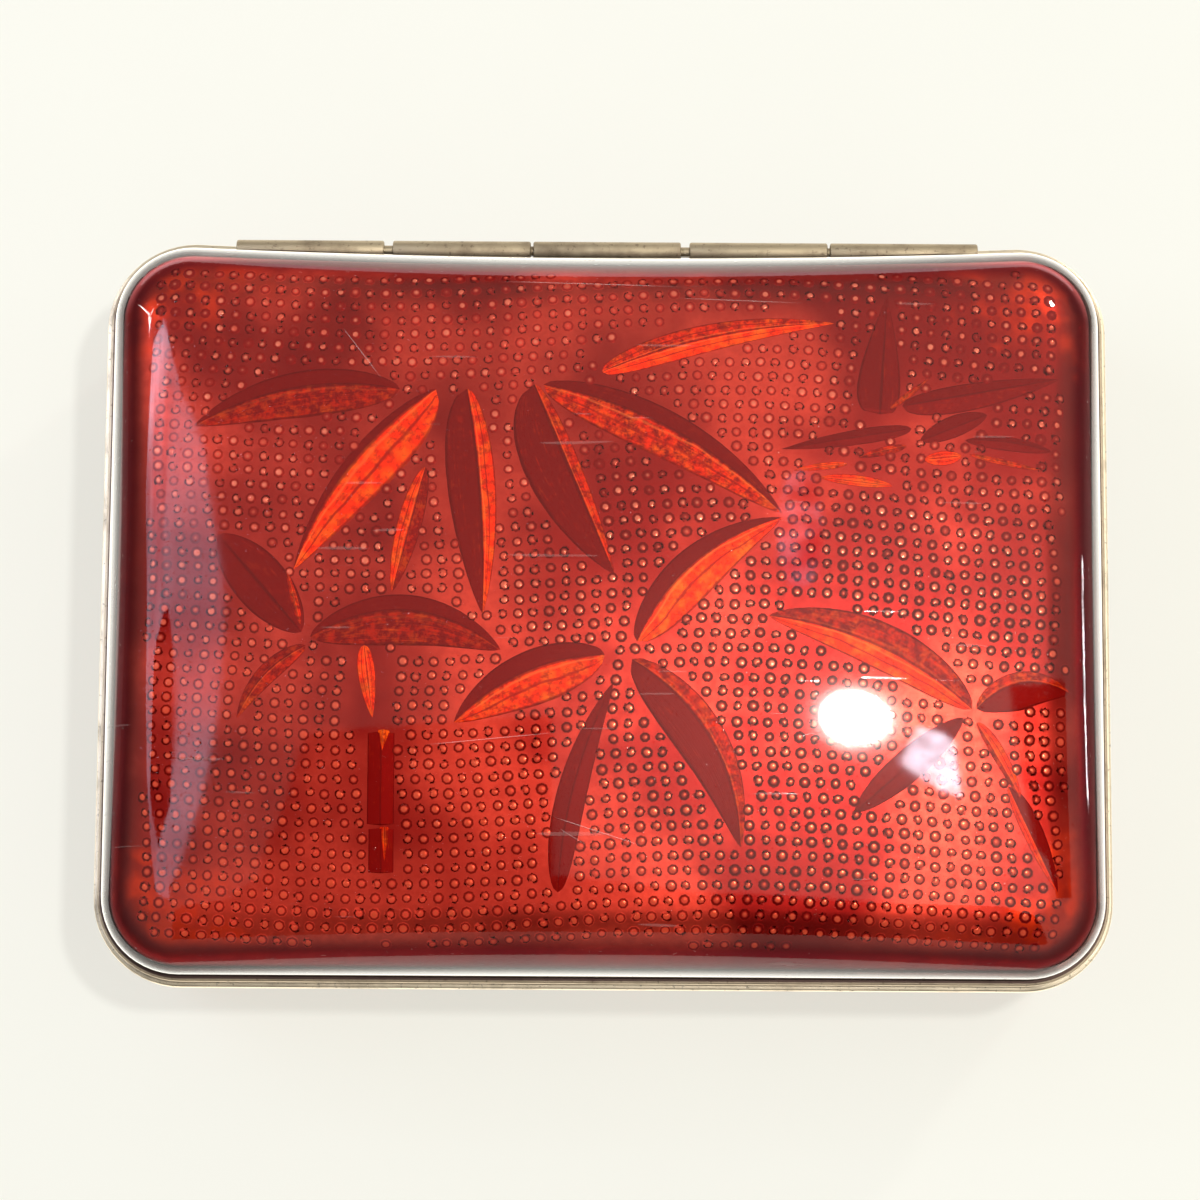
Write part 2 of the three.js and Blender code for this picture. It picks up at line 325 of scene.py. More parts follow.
def first_loop(bm, ring):
    """A closed loop of vertices laid on the points of a ring."""
    made = bmesh.ops.create_circle(bm, cap_ends=False, segments=len(ring), radius=1)
    loop = made["verts"]
    for vert, place in zip(loop, ring):
        vert.co = place
    return loop


def loop_edges(loop):
    """The edges that run round a loop of vertices."""
    members = set(loop)
    edges = (edge for vert in loop for edge in vert.link_edges if edge.other_vert(vert) in members)
    return list(dict.fromkeys(edges))


def next_loop(bm, loop, ring):
    """Extrudes a loop onto the points of the next ring and returns the new loop in the same order."""
    before = set(loop)
    grown = bmesh.ops.extrude_edge_only(bm, edges=loop_edges(loop))["geom"]
    follows = {}
    for vert in (item for item in grown if isinstance(item, bmesh.types.BMVert)):
        for edge in vert.link_edges:
            other = edge.other_vert(vert)
            if other in before:
                follows[other] = vert
    fresh = [follows[vert] for vert in loop]
    for vert, place in zip(fresh, ring):
        vert.co = place
    return fresh


def loft(bm, rings):
    """A skin drawn through rings of equally many points; returns its first and last loop."""
    first = loop = first_loop(bm, rings[0])
    for ring in rings[1:]:
        loop = next_loop(bm, loop, ring)
    return first, loop


def close_to_point(bm, loop, point):
    """Draws a loop together at one point."""
    tip = next_loop(bm, loop, [point] * len(loop))
    bmesh.ops.pointmerge(bm, verts=tip, merge_co=point)


def close_band(bm, first, last):
    """Joins the last loop of a skin back to its first."""
    bmesh.ops.bridge_loops(bm, edges=loop_edges(first) + loop_edges(last))


def placed(bm, name):
    """Turns a bmesh into an object of the scene, standing at the origin."""
    mesh = bpy.data.meshes.new(name)
    bm.to_mesh(mesh)
    bm.free()
    made = bpy.data.objects.new(name, mesh)
    bpy.context.scene.collection.objects.link(made)
    return made


def finished_piece(bm, name, material, body, stands_for=(), whole=False):
    """Turns a bmesh into a piece of the box that rides on a body.

    Its parts are joined up and its sharp edges marked, unless every part in it is whole already.
    """
    if not whole:
        bmesh.ops.remove_doubles(bm, verts=bm.verts, dist=MERGE_DISTANCE)
        bmesh.ops.dissolve_degenerate(bm, edges=bm.edges, dist=NO_LENGTH)
        bmesh.ops.recalc_face_normals(bm, faces=bm.faces)
    for face in bm.faces:
        face.smooth = True
    piece = placed(bm, name)
    if not whole:
        piece.data.set_sharp_from_angle(angle=SHARP_ANGLE)
    piece.data.materials.append(material)
    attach(piece, body)
    if stands_for:
        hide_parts(*stands_for)
    return piece


def lid_layer(box, name, outer_depth, inner_depth, material, stands_for):
    """A layer of the lid between two depths, closed round its lower edge."""
    bm = bmesh.new()
    outer_rings, outer_top = lid_rings(box, outer_depth)
    inner_rings, inner_top = lid_rings(box, inner_depth)
    outer_first, outer_last = loft(bm, outer_rings)
    close_to_point(bm, outer_last, outer_top)
    inner_first, inner_last = loft(bm, inner_rings)
    close_to_point(bm, inner_last, inner_top)
    close_band(bm, outer_first, inner_first)
    finished_piece(bm, name, material, "lid", stands_for)


def wall_layer(box, name, outer_depth, inner_depth, material, stands_for):
    """A layer round the body's wall between two depths, open at the middle of the base."""
    bm = bmesh.new()
    close_band(bm, *loft(bm, wall_rings(box, inner_depth) + wall_rings(box, outer_depth)[::-1]))
    finished_piece(bm, name, material, "body", stands_for)


def tray_layer(box, name, outer_depth, inner_depth, material, stands_for):
    """A layer of the body between two depths that covers its wall and its floor."""
    bm = bmesh.new()
    rims = []
    for depth in (inner_depth, outer_depth):
        rim, floor_edge = loft(bm, wall_rings(box, depth)[::-1])
        close_to_point(bm, floor_edge, Vector((0, 0, depth)))
        rims.append(rim)
    close_band(bm, *rims)
    finished_piece(bm, name, material, "body", stands_for)


# How materials and the world are laid out

class Nodes:
    """The nodes of a material or of the world while they are laid out."""

    def __init__(self, owner):
        owner.use_nodes = True
        self.nodes = owner.node_tree.nodes
        self.links = owner.node_tree.links
        self.nodes.clear()

    def node(self, kind, inputs=None, **settings):
        """Adds a node, sets its own settings, and fills or joins its inputs."""
        made = self.nodes.new("ShaderNode" + kind)
        for key, value in settings.items():
            setattr(made, key, value)
        for key, value in (inputs or {}).items():
            self.fill(made.inputs[key], value)
        return made

    def fill(self, socket, value):
        """Joins another node's output to an input, or gives the input a plain value."""
        if isinstance(value, bpy.types.NodeSocket):
            self.links.new(value, socket)
        elif socket.type == "RGBA" and len(value) == 3:
            socket.default_value = (*value, 1)
        else:
            socket.default_value = value

    def shader(self, kind, inputs):
        """Adds a shader and returns what it gives."""
        return self.node(kind, inputs).outputs[0]

    def mixed(self, share, first, second):
        """Two shaders mixed, the share being that of the second."""
        return self.shader("MixShader", {"Fac": share, 1: first, 2: second})

    def ranged(self, value, low, high, to_low=0, to_high=1, smooth=False):
        """Maps a value from one range to another, held at both ends."""
        return self.node("MapRange", {
            "Value": value, "From Min": low, "From Max": high, "To Min": to_low, "To Max": to_high,
        }, interpolation_type="SMOOTHSTEP" if smooth else "LINEAR").outputs["Result"]

    def maths(self, operation, first, second=0.0):
        """The result of one sum on two values."""
        return self.node("Math", {0: first, 1: second}, operation=operation).outputs["Value"]

    def product(self, first, *others):
        """Several values multiplied."""
        for other in others:
            first = self.maths("MULTIPLY", first, other)
        return first

    def axes(self, vector):
        """The X, Y and Z of a vector."""
        return self.node("SeparateXYZ", {"Vector": vector}).outputs

    def rays(self):
        """The kinds of ray, and whether a ray comes from the camera, straight or through a clear body."""
        kinds = self.node("LightPath").outputs
        return kinds, self.maths("MAXIMUM", kinds["Is Camera Ray"], kinds["Is Transmission Ray"])


class Finish(Nodes):
    """A material while its nodes are laid out."""

    def __init__(self, name):
        self.material = bpy.data.materials.new(name)
        super().__init__(self.material)
        self.place = self.node("TexCoord").outputs["Object"]

    def stretched(self, scale, turn=(0, 0, 0)):
        """The place on the box, turned and stretched."""
        return self.node(
            "Mapping", {"Vector": self.place, "Scale": scale, "Rotation": turn},
        ).outputs["Vector"]

    def noise(self, scale, detail=3, roughness=0.5, vector=None):
        """Cloudy noise, mostly between 0.3 and 0.7, its scale being how many waves go into a metre."""
        return self.node("TexNoise", {
            "Vector": vector or self.place, "Scale": scale, "Detail": detail, "Roughness": roughness,
        }).outputs["Fac"]

    def colours(self, factor, first, second):
        """Two colours mixed, the factor being the share of the second."""
        mix = self.node("Mix", data_type="RGBA")
        for key, value in (("Factor", factor), ("A", first), ("B", second)):
            self.fill(mix.inputs[key], value)
        return mix.outputs["Result"]

    def bump(self, height, distance, strength=1.0, normal=None):
        """A normal that makes the surface look uneven by up to a distance."""
        inputs = {"Height": height, "Distance": distance, "Strength": strength}
        if normal:
            inputs["Normal"] = normal
        return self.node("Bump", inputs).outputs["Normal"]

    def attribute(self, name):
        """A value kept on the mesh."""
        return self.node("Attribute", attribute_name=name).outputs["Fac"]

    def scratch(self, start, end, width):
        """A fine straight scratch between two points of the plan, fading at both ends."""
        way = Vector(end) - Vector(start)
        axes = self.axes(self.node("Mapping", {
            "Vector": self.place, "Location": (*start, 0), "Rotation": (0, 0, math.atan2(way.y, way.x)),
        }, vector_type="TEXTURE").outputs["Vector"])
        line = self.ranged(self.maths("ABSOLUTE", axes["Y"]), width * 0.4, width, 1, 0)
        rising = self.ranged(axes["X"], 0, way.length * 0.2)
        falling = self.ranged(axes["X"], way.length * 0.7, way.length, 1, 0)
        return self.product(line, rising, falling)

    def plan_inset(self, box):
        """How far inside the body rim's outline a point near it lies."""
        axes = self.axes(self.place)
        beyond = {}
        for axis, half in (("X", box.width / 2), ("Y", box.depth / 2)):
            past = self.maths("SUBTRACT", self.maths("ABSOLUTE", axes[axis]), half - box.corner_radius)
            beyond[axis] = self.maths("MAXIMUM", past, 0.0)
        corner = self.node("CombineXYZ", beyond).outputs["Vector"]
        reach = self.node("VectorMath", {0: corner}, operation="LENGTH").outputs["Value"]
        return self.maths("SUBTRACT", box.corner_radius, reach)

    def done(self, shader):
        """Gives the material its surface."""
        self.node("OutputMaterial", {"Surface": shader})
        return self.material


# Finishes: in each, a noise or a place is ranged to a share from 0 to 1, by which two colours are mixed

# Shades that a finish needs beside the colours in the panel
POOLED_FOIL = (0.13, 0.002, 0.012)
# A painted reflection along the back of the lid's rim.
PAINTED_BACK_REFLECTION = (0.95, 0.30, 0.34)
# A painted glow of the lamps in the foil near the corners.
PAINTED_CORNER_GLOW = (1.0, 0.065, 0.010)
# Painted shade on the bosses' flanks, softer at the back and stronger at the front.
SOFT_FLANK_SHADE, STRONG_FLANK_SHADE = (0.24, 0.004, 0.003), (0.09, 0.001, 0.001)
# Painted glints on the bosses' tops: dull, bright, and those at the front.
DULL_GLINT, BRIGHT_GLINT, FRONT_GLINT = (0.80, 0.14, 0.08), (1.0, 0.32, 0.20), (0.85, 0.12, 0.05)
# Painted sparkles of orange highlight on the lit leaf halves.
LEAF_PAINTED_SPARKLE = (1.0, 0.13, 0.008)
# Painted shade along a fold, and a painted glint near the midrib, on the lit leaf halves.
LEAF_FOLD_SHADE, LEAF_PAINTED_GLINT = (0.30, 0.006, 0.004), (1.0, 0.22, 0.05)
# Painted shade along the leaves' pressed outline, and the dark line of the midrib.
LEAF_OUTLINE_SHADE, LEAF_MIDRIB = (0.13, 0.003, 0.003), (0.12, 0.004, 0.004)
CHALK = (0.8, 0.62, 0.6)
# Painted shade in the seam between the lid's rim and the enamel.
SEAM_SHADE = (0.05, 0.022, 0.026)
LINING_FLECK, BASE_FLECK = (0.05, 0.12, 0.2), (0.05, 0.05, 0.055)
PLAIN_WHITE = (1, 1, 1)
# The border of the painted glow in the corners: X times Y where it starts and where it is full, in square metres.
CORNER_BORDER = (0.00128, 0.00165)
CORNER_RAGGEDNESS = 0.00022
# The waviness of the enamel's polish, and the depth of its pits and scratches.
POLISH_RIPPLE = 0.02 * MM
POLISH_PITS = 0.02 * MM


def foil_stain(finish, finishes):
    """The foil's colour through the enamel: deep in some clouds and warm in others."""
    warmth = finish.ranged(finish.noise(48), 0.38, 0.66, smooth=True)
    return finish.colours(warmth, finishes.foil_deep, finishes.foil_warm)


def foil_edges(finish, stain_and_light, share, box):
    """Darkens a foil colour down the lid's edges, where the enamel pools, and less so on the body.

    Right at the back of the lid's rim, a painted reflection makes the foil pale again.
    """
    place = finish.axes(finish.place)
    inset = finish.plan_inset(box)
    upper = finish.ranged(place["Z"], RIM_LOW.z, RIM_HIGH.z, 0.4, 1)
    pooled = finish.ranged(inset, 3.6 * MM, 5.4 * MM, share, 0, smooth=True)
    stain_and_light = finish.colours(finish.product(upper, pooled), stain_and_light, POOLED_FOIL)
    # Painted reflection: pale foil along the back of the lid's rim.
    on_lid = finish.ranged(place["Z"], RIM_HIGH.z - 0.5 * MM, RIM_HIGH.z)
    reflection_band = finish.ranged(inset, 2.3 * MM, 3.5 * MM, 1, 0, smooth=True)
    at_back = finish.ranged(place["Y"], 33 * MM, 38 * MM)
    return finish.colours(finish.product(on_lid, reflection_band, at_back), stain_and_light, PAINTED_BACK_REFLECTION)


def corner_glow_mask(finish):
    """Where a painted glow warms the foil near the four corners, in patches with a ragged border."""
    place = finish.axes(finish.place)
    area = finish.maths("ABSOLUTE", finish.product(place["X"], place["Y"]))
    ragged = finish.maths("ADD", area, finish.ranged(
        finish.noise(150), 0.3, 0.7, -CORNER_RAGGEDNESS, CORNER_RAGGEDNESS,
    ))
    patches = finish.ranged(finish.noise(310, detail=2), 0.42, 0.60, 0.25, 1)
    return finish.product(finish.ranged(ragged, *CORNER_BORDER, smooth=True), patches)


def foil_ground_finish(finishes, box):
    """Red foil under the enamel: deep where it pools, warm where thin, darker down the edges, with painted corner
    glow.
    """
    finish = Finish("foil_ground")
    grain = finish.noise(900, detail=2)
    crumple = finish.noise(420, roughness=0.6)
    stain_and_light = finish.colours(
        finish.ranged(grain, 0.35, 0.65, 0, 0.3), foil_stain(finish, finishes), finishes.foil_deep,
    )
    # Painted glow near the corners.
    stain_and_light = finish.colours(finish.product(corner_glow_mask(finish), 0.6), stain_and_light, PAINTED_CORNER_GLOW)
    return finish.done(finish.shader("BsdfPrincipled", {
        "Base Color": foil_edges(finish, stain_and_light, 0.85, box),
        "Metallic": 0.72, "Specular IOR Level": 0.0,
        "Roughness": finish.ranged(grain, 0.3, 0.7, 0.32, 0.39),
        "Normal": finish.bump(crumple, 0.03 * MM, 0.4),
    }))


def foil_boss_finish(finishes, box):
    """The raised bosses: their flanks darkened by painted shade, their tops lit by a painted glint through the
    enamel.
    """
    finish = Finish("foil_bosses")
    crest = finish.attribute("crest")
    backward = finish.axes(finish.place)["Y"]
    forward = finish.ranged(backward, -4 * MM, 18 * MM, 1, 0, smooth=True)
    # Painted shade on the flanks, darker towards the front.
    flank_shade = finish.product(finish.ranged(crest, 0.05, 0.3), finish.ranged(crest, 0.55, 0.80, 0.8, 0))
    # Painted glint on the tops, a little larger towards the front.
    top = finish.maths("ADD", crest, finish.product(forward, 0.05))
    top = finish.ranged(top, 0.84, 0.98, smooth=True)
    painted_glint = finish.colours(finish.ranged(finish.noise(260, detail=2), 0.35, 0.65), DULL_GLINT, BRIGHT_GLINT)
    painted_glint = finish.colours(finish.ranged(backward, -22 * MM, 12 * MM, 0.85, 0), painted_glint, FRONT_GLINT)
    shaded = finish.colours(forward, SOFT_FLANK_SHADE, STRONG_FLANK_SHADE)
    stain_and_light = finish.colours(flank_shade, foil_stain(finish, finishes), shaded)
    stain_and_light = finish.colours(finish.product(top, 0.85), stain_and_light, painted_glint)
    return finish.done(finish.shader("BsdfPrincipled", {
        "Base Color": foil_edges(finish, stain_and_light, 0.6, box), "Specular IOR Level": 0.0,
        "Metallic": finish.ranged(top, 0, 1, 0.05, 0.35),
        "Roughness": finish.ranged(top, 0, 1, 0.30, 0.22),
    }))


def foil_leaf_finish(finishes):
    """Leaves: halves painted dark or bright as if shaded or lit, veined along their length, outlines in painted
    shade.

    The leaf's own map runs from 0 to 1 along it, and from -1 to 1 across it.
    """
    finish = Finish("foil_leaves")
    # The painted light of each leaf half, kept on its faces, from 0 in shade to 1 fully lit.
    painted_light = finish.attribute("painted_light")
    leaf = finish.node("UVMap", uv_map="leaf").outputs["UV"]
    veins = finish.noise(1, roughness=0.6, vector=finish.node(
        "Mapping", {"Vector": leaf, "Scale": (3.5, 22, 1)},
    ).outputs["Vector"])
    mottle = finish.noise(1150, roughness=0.75)
    side = finish.maths("ABSOLUTE", finish.axes(leaf)["Y"])
    wander = finish.maths("ADD", side, finish.ranged(finish.noise(230, detail=1), 0.3, 0.7, -0.06, 0.06))
    strong = finish.ranged(painted_light, 0.15, 0.6)

    def stripe(low, high, depth):
        """A line along the leaf between two shares of its half, only on the halves with painted light."""
        rising = finish.ranged(wander, low, low + 0.04)
        falling = finish.ranged(wander, high, high + 0.04, depth, 0)
        return finish.product(strong, rising, falling)

    lit = finish.maths("ADD", painted_light, finish.ranged(veins, 0.3, 0.7, -0.16, 0.16))
    speckled = finish.product(finish.ranged(mottle, 0.38, 0.60, -0.46, 0.16), finish.ranged(painted_light, 0, 0.6, 0.3, 1))
    lit = finish.maths("ADD", lit, speckled)
    # Painted sparkles: specks of orange highlight mixed into the lit halves' colour.
    painted_sparkle = finish.ranged(finish.noise(640, detail=2), 0.45, 0.70)
    warm = finish.colours(painted_sparkle, finishes.leaf_painted_light, LEAF_PAINTED_SPARKLE)
    stain_and_light = finish.colours(finish.ranged(lit, 0.06, 0.88), finishes.leaf_painted_shade, warm)
    # Painted shade along a fold and a painted glint near the midrib on the lit halves, then painted shade along the
    # outline, and the dark midrib line.
    for share, shade in (
        (stripe(0.42, 0.50, 0.75), LEAF_FOLD_SHADE),
        (stripe(0.10, 0.17, 0.4), LEAF_PAINTED_GLINT),
        (finish.product(finish.ranged(side, 0.86, 0.95, smooth=True), 0.75), LEAF_OUTLINE_SHADE),
        (finish.product(finish.ranged(side, 0.03, 0.09, 1, 0, smooth=True), 0.7), LEAF_MIDRIB),
    ):
        stain_and_light = finish.colours(share, stain_and_light, shade)
    return finish.done(finish.shader("BsdfPrincipled", {
        "Base Color": stain_and_light, "Metallic": 0.2, "Specular IOR Level": 0.0,
        "Roughness": finish.ranged(veins, 0.3, 0.7, 0.32, 0.45),
        "Normal": finish.bump(veins, 0.05 * MM, 0.5),
    }))


# Fine scratches in the lid's polish: from, to, and width in millimetres.
SCRATCHES = (
    ((-19.5, -16.6), (-5.0, -15.2), 0.05),
    ((-5.6, -24.4), (4.5, -27.6), 0.06),
    ((-5.0, -25.6), (-2.0, -27.4), 0.04),
    ((-29.5, 30.5), (-25.0, 24.5), 0.05),
    ((21.0, -15.5), (32.0, -13.0), 0.04),
    ((-12.0, 36.0), (9.0, 35.4), 0.05),
    ((8.0, 34.0), (22.0, 33.6), 0.04),
)


def clear_enamel_finish(finishes, name, deepens=(0.2, 0.6), edge_gain=1.0, scratches=()):
    """Polished clear enamel: a mirror film that grows towards grazing, over a tinted see-through body.

    It deepens over a range of facing, from 0 straight on to 1 along the surface. The edge gain is how much
    stronger it mirrors down its steep sides, where the glass lies thickest.
    """
    finish = Finish(name)
    pits = finish.ranged(finish.noise(1700, detail=1), 0.72, 0.76)
    brushed = finish.stretched((2, 34, 2), (0, 0, math.radians(-9)))
    hairlines = finish.ranged(finish.noise(30, detail=1, vector=brushed), 0.735, 0.75)
    worn = finish.product(hairlines, 0.3)
    for start, end, width in scratches:
        worn = finish.maths("MAXIMUM", worn, finish.scratch(Vector(start) * MM, Vector(end) * MM, width * MM))
    skin = finish.bump(finish.noise(38, detail=2), POLISH_RIPPLE)
    skin = finish.bump(finish.maths("MAXIMUM", pits, worn), POLISH_PITS, 0.5, skin)
    facing = finish.node("LayerWeight", {"Blend": 0.5}).outputs["Facing"]
    tint = finish.colours(finish.ranged(facing, *deepens), finishes.enamel_tint, finishes.enamel_deep)
    film = finish.node("Fresnel", {"IOR": 1.52, "Normal": skin}).outputs["Fac"]
    if edge_gain > 1:
        film = finish.maths("MINIMUM", finish.product(film, finish.ranged(film, 0.052, 0.15, 1, edge_gain)), 1.0)
    clear = finish.shader("BsdfTransparent", {"Color": tint})
    mirror = finish.shader("BsdfGlossy", {
        "Color": PLAIN_WHITE, "Roughness": finish.ranged(worn, 0, 1, 0.04, 0.25), "Normal": skin,
    })
    chalk = finish.shader("BsdfDiffuse", {"Color": CHALK})
    marked = finish.mixed(finish.product(worn, 0.3), finish.mixed(film, clear, mirror), chalk)
    behind = finish.node("NewGeometry").outputs["Backfacing"]
    return finish.done(finish.mixed(behind, marked, finish.shader("BsdfTransparent", {"Color": PLAIN_WHITE})))


def worn_metal_finish(name, bright, tarnish, rough, brushed, box=None):
    """Rim and barrel metal: worn bright on the faces, tarnished in patches, with fine draw lines.

    Given the box, painted shade also darkens the metal along its seam with the enamel.
    """
    finish = Finish(name)
    patches = finish.noise(160, detail=4, roughness=0.6)
    specks = finish.noise(2200, detail=2)
    lines = finish.noise(240, detail=2, vector=finish.stretched(brushed))
    coloured = finish.colours(finish.ranged(patches, 0.48, 0.75, 0, 0.6, smooth=True), bright, tarnish)
    coloured = finish.colours(finish.ranged(specks, 0.62, 0.72, 0, 0.5), coloured, tarnish)
    if box:
        # Painted shade along the seam with the enamel.
        seam = finish.ranged(finish.plan_inset(box), 0.78 * MM, 0.92 * MM, 0, 0.9)
        coloured = finish.colours(seam, coloured, SEAM_SHADE)
    return finish.done(finish.shader("BsdfPrincipled", {
        "Base Color": coloured, "Metallic": 1.0,
        "Roughness": finish.ranged(patches, 0.3, 0.75, rough, rough + 0.22),
        "Normal": finish.bump(lines, 0.02 * MM, 0.5),
    }))


def opaque_enamel_finish(name, base, fleck, rough):
    """Plain fired enamel: glossy, faintly orange-peeled, with a few lighter flecks."""
    finish = Finish(name)
    clouds = finish.noise(60, detail=2)
    coloured = finish.colours(finish.ranged(clouds, 0.3, 0.7, 0, 0.35), base, fleck)
    coloured = finish.colours(finish.ranged(finish.noise(1300, detail=2), 0.66, 0.72, 0, 0.8), coloured, fleck)
    return finish.done(finish.shader("BsdfPrincipled", {
        "Base Color": coloured, "Metallic": 0.0, "IOR": 1.5,
        "Roughness": finish.ranged(clouds, 0.3, 0.7, rough, rough + 0.1),
        "Normal": finish.bump(finish.noise(300, detail=2), 0.05 * MM, 0.35),
    }))


# Operators, one for each piece or group of like pieces, after what only they need

class KEEPSAKE_OT_lid_enamel(bpy.types.Operator):
    """Makes the clear enamel over the lid's foil"""

    bl_idname = "keepsake.lid_enamel"
    bl_label = "Lid Enamel"

    def execute(self, context):
        box, finishes = context.scene.keepsake_box, context.scene.keepsake_finishes
        glass = clear_enamel_finish(
            finishes, "lid_clear_enamel", deepens=(0.3, 0.8), edge_gain=2.9, scratches=SCRATCHES,
        )
        lid_layer(box, "lid_clear_enamel", 0, box.enamel, glass, ["lid_red_enamel"])
        return {"FINISHED"}


class KEEPSAKE_OT_lid_foil(bpy.types.Operator):
    """Makes the plain ground of the lid's foil"""

    bl_idname = "keepsake.lid_foil"
    bl_label = "Lid Foil"

    def execute(self, context):
        box, finishes = context.scene.keepsake_box, context.scene.keepsake_finishes
        foil = foil_ground_finish(finishes, box)
        inner = box.foil_depth + box.foil
        lid_layer(box, "lid_foil_ground", box.foil_depth, inner, foil, ["lid_embossed_foil"])
        return {"FINISHED"}


# A boss: its sides, how deep its foot is sunk, and its rings above the foot as shares of radius and height.
BOSS_SIDES = 8
BOSS_SINK = 0.02 * MM
BOSS_RINGS = ((0.76, 0.42), (0.44, 0.88))
# How unevenly the bosses are stamped: spreads of size, width to length, height, and the crest behind the painted
# glint.
SIZE_SPREAD = (-0.1, 0.08)
OVAL_SPREAD = (0.9, 1.05)
HEIGHT_SPREAD = (0.8, 1.0)
GLINT_SPREAD = (0.90, 1.06)
# How the lid's rows and columns of bosses sway: by how many pitches, how fast, and from where.
ROW_SWAY = (0.45, 0.33, 1.2)
COLUMN_SWAY = (0.55, 0.14, 0.4)


def boss_template(bm, stipple):
    """One low closed boss standing on the origin, with its own height from 0 to 1 kept as crest."""
    crest = bm.verts.layers.float.new("crest")
    foot = bmesh.ops.create_circle(bm, cap_ends=True, segments=BOSS_SIDES, radius=stipple.radius)["verts"]
    for vert in foot:
        vert.co.z = -BOSS_SINK
    loop = foot
    for spread, rise in BOSS_RINGS:
        ring = [Vector((v.co.x, v.co.y, 0)).normalized() * stipple.radius * spread for v in loop]
        for place in ring:
            place.z = stipple.height * rise
        loop = next_loop(bm, loop, ring)
    close_to_point(bm, loop, Vector((0, 0, stipple.height)))
    for vert in bm.verts:
        vert[crest] = max(0.0, vert.co.z / stipple.height)
    bmesh.ops.recalc_face_normals(bm, faces=bm.faces)
    for edge in loop_edges(foot):
        edge.smooth = False


def stamped_piece(name, stipple, places, chance, material, body):
    """Stamps a boss at each place, turned to the surface there and a little uneven."""
    bm = bmesh.new()
    boss_template(bm, stipple)
    form = [vert.co.copy() for vert in bm.verts]
    every = len(form)
    count = 1
    while count < len(places):
        bmesh.ops.duplicate(bm, geom=bm.verts[:] + bm.edges[:] + bm.faces[:])
        count *= 2
    bm.verts.ensure_lookup_table()
    crest = bm.verts.layers.float["crest"]
    for number, (point, normal) in enumerate(places):
        size = 1 + chance.uniform(*SIZE_SPREAD)
        turn = normal.to_track_quat("Z", "Y").to_matrix().to_4x4()
        spin = Matrix.Rotation(chance.uniform(0, math.pi), 4, "Z")
        oval = Matrix.Diagonal((size, size * chance.uniform(*OVAL_SPREAD), chance.uniform(*HEIGHT_SPREAD), 1))
        stamp = Matrix.Translation(point) @ turn @ spin @ oval
        # Scales the crest, and with it the painted glint and flank shade of this boss.
        glint_scale = chance.uniform(*GLINT_SPREAD)
        for step, place in enumerate(form):
            vert = bm.verts[number * every + step]
            vert.co = stamp @ place
            vert[crest] *= glint_scale
    bmesh.ops.delete(bm, geom=bm.verts[len(places) * every:], context="VERTS")
    finished_piece(bm, name, material, body, whole=True)


def swayed(sway, pitch, number):
    """How far a row or column of bosses lies from its straight place."""
    share, pace, start = sway
    return share * pitch * math.sin(number * pace + start)


class KEEPSAKE_OT_lid_stipple(bpy.types.Operator):
    """Stamps the stippled ground round the leaves of the lid"""

    bl_idname = "keepsake.lid_stipple"
    bl_label = "Lid Stipple"

    def execute(self, context):
        box, stipple = context.scene.keepsake_box, context.scene.keepsake_stipple
        chance = random.Random(stipple.seed)
        rows = int(box.depth / stipple.row_pitch / 2)
        columns = int(box.width / stipple.pitch / 2)
        places = []
        for row in range(-rows, rows + 1):
            for column in range(-columns, columns + 1):
                x = column * stipple.pitch + swayed(ROW_SWAY, stipple.pitch, row)
                y = row * stipple.row_pitch + swayed(COLUMN_SWAY, stipple.row_pitch, column)
                x += chance.uniform(-1, 1) * stipple.wander
                y += chance.uniform(-1, 1) * stipple.wander
                if edge_distance(box, x, y) < stipple.border or abs(x) > box.width / 2 - stipple.side_border:
                    continue
                if any(motif.covers(x, y, stipple.clearance) for motif in LID_MOTIFS):
                    continue
                places.append((lid_point(box, x, y, box.foil_depth), lid_normal(box, x, y, box.foil_depth)))
        bosses = foil_boss_finish(context.scene.keepsake_finishes, box)
        stamped_piece("lid_foil_bosses", stipple, places, chance, bosses, "lid")
        return {"FINISHED"}


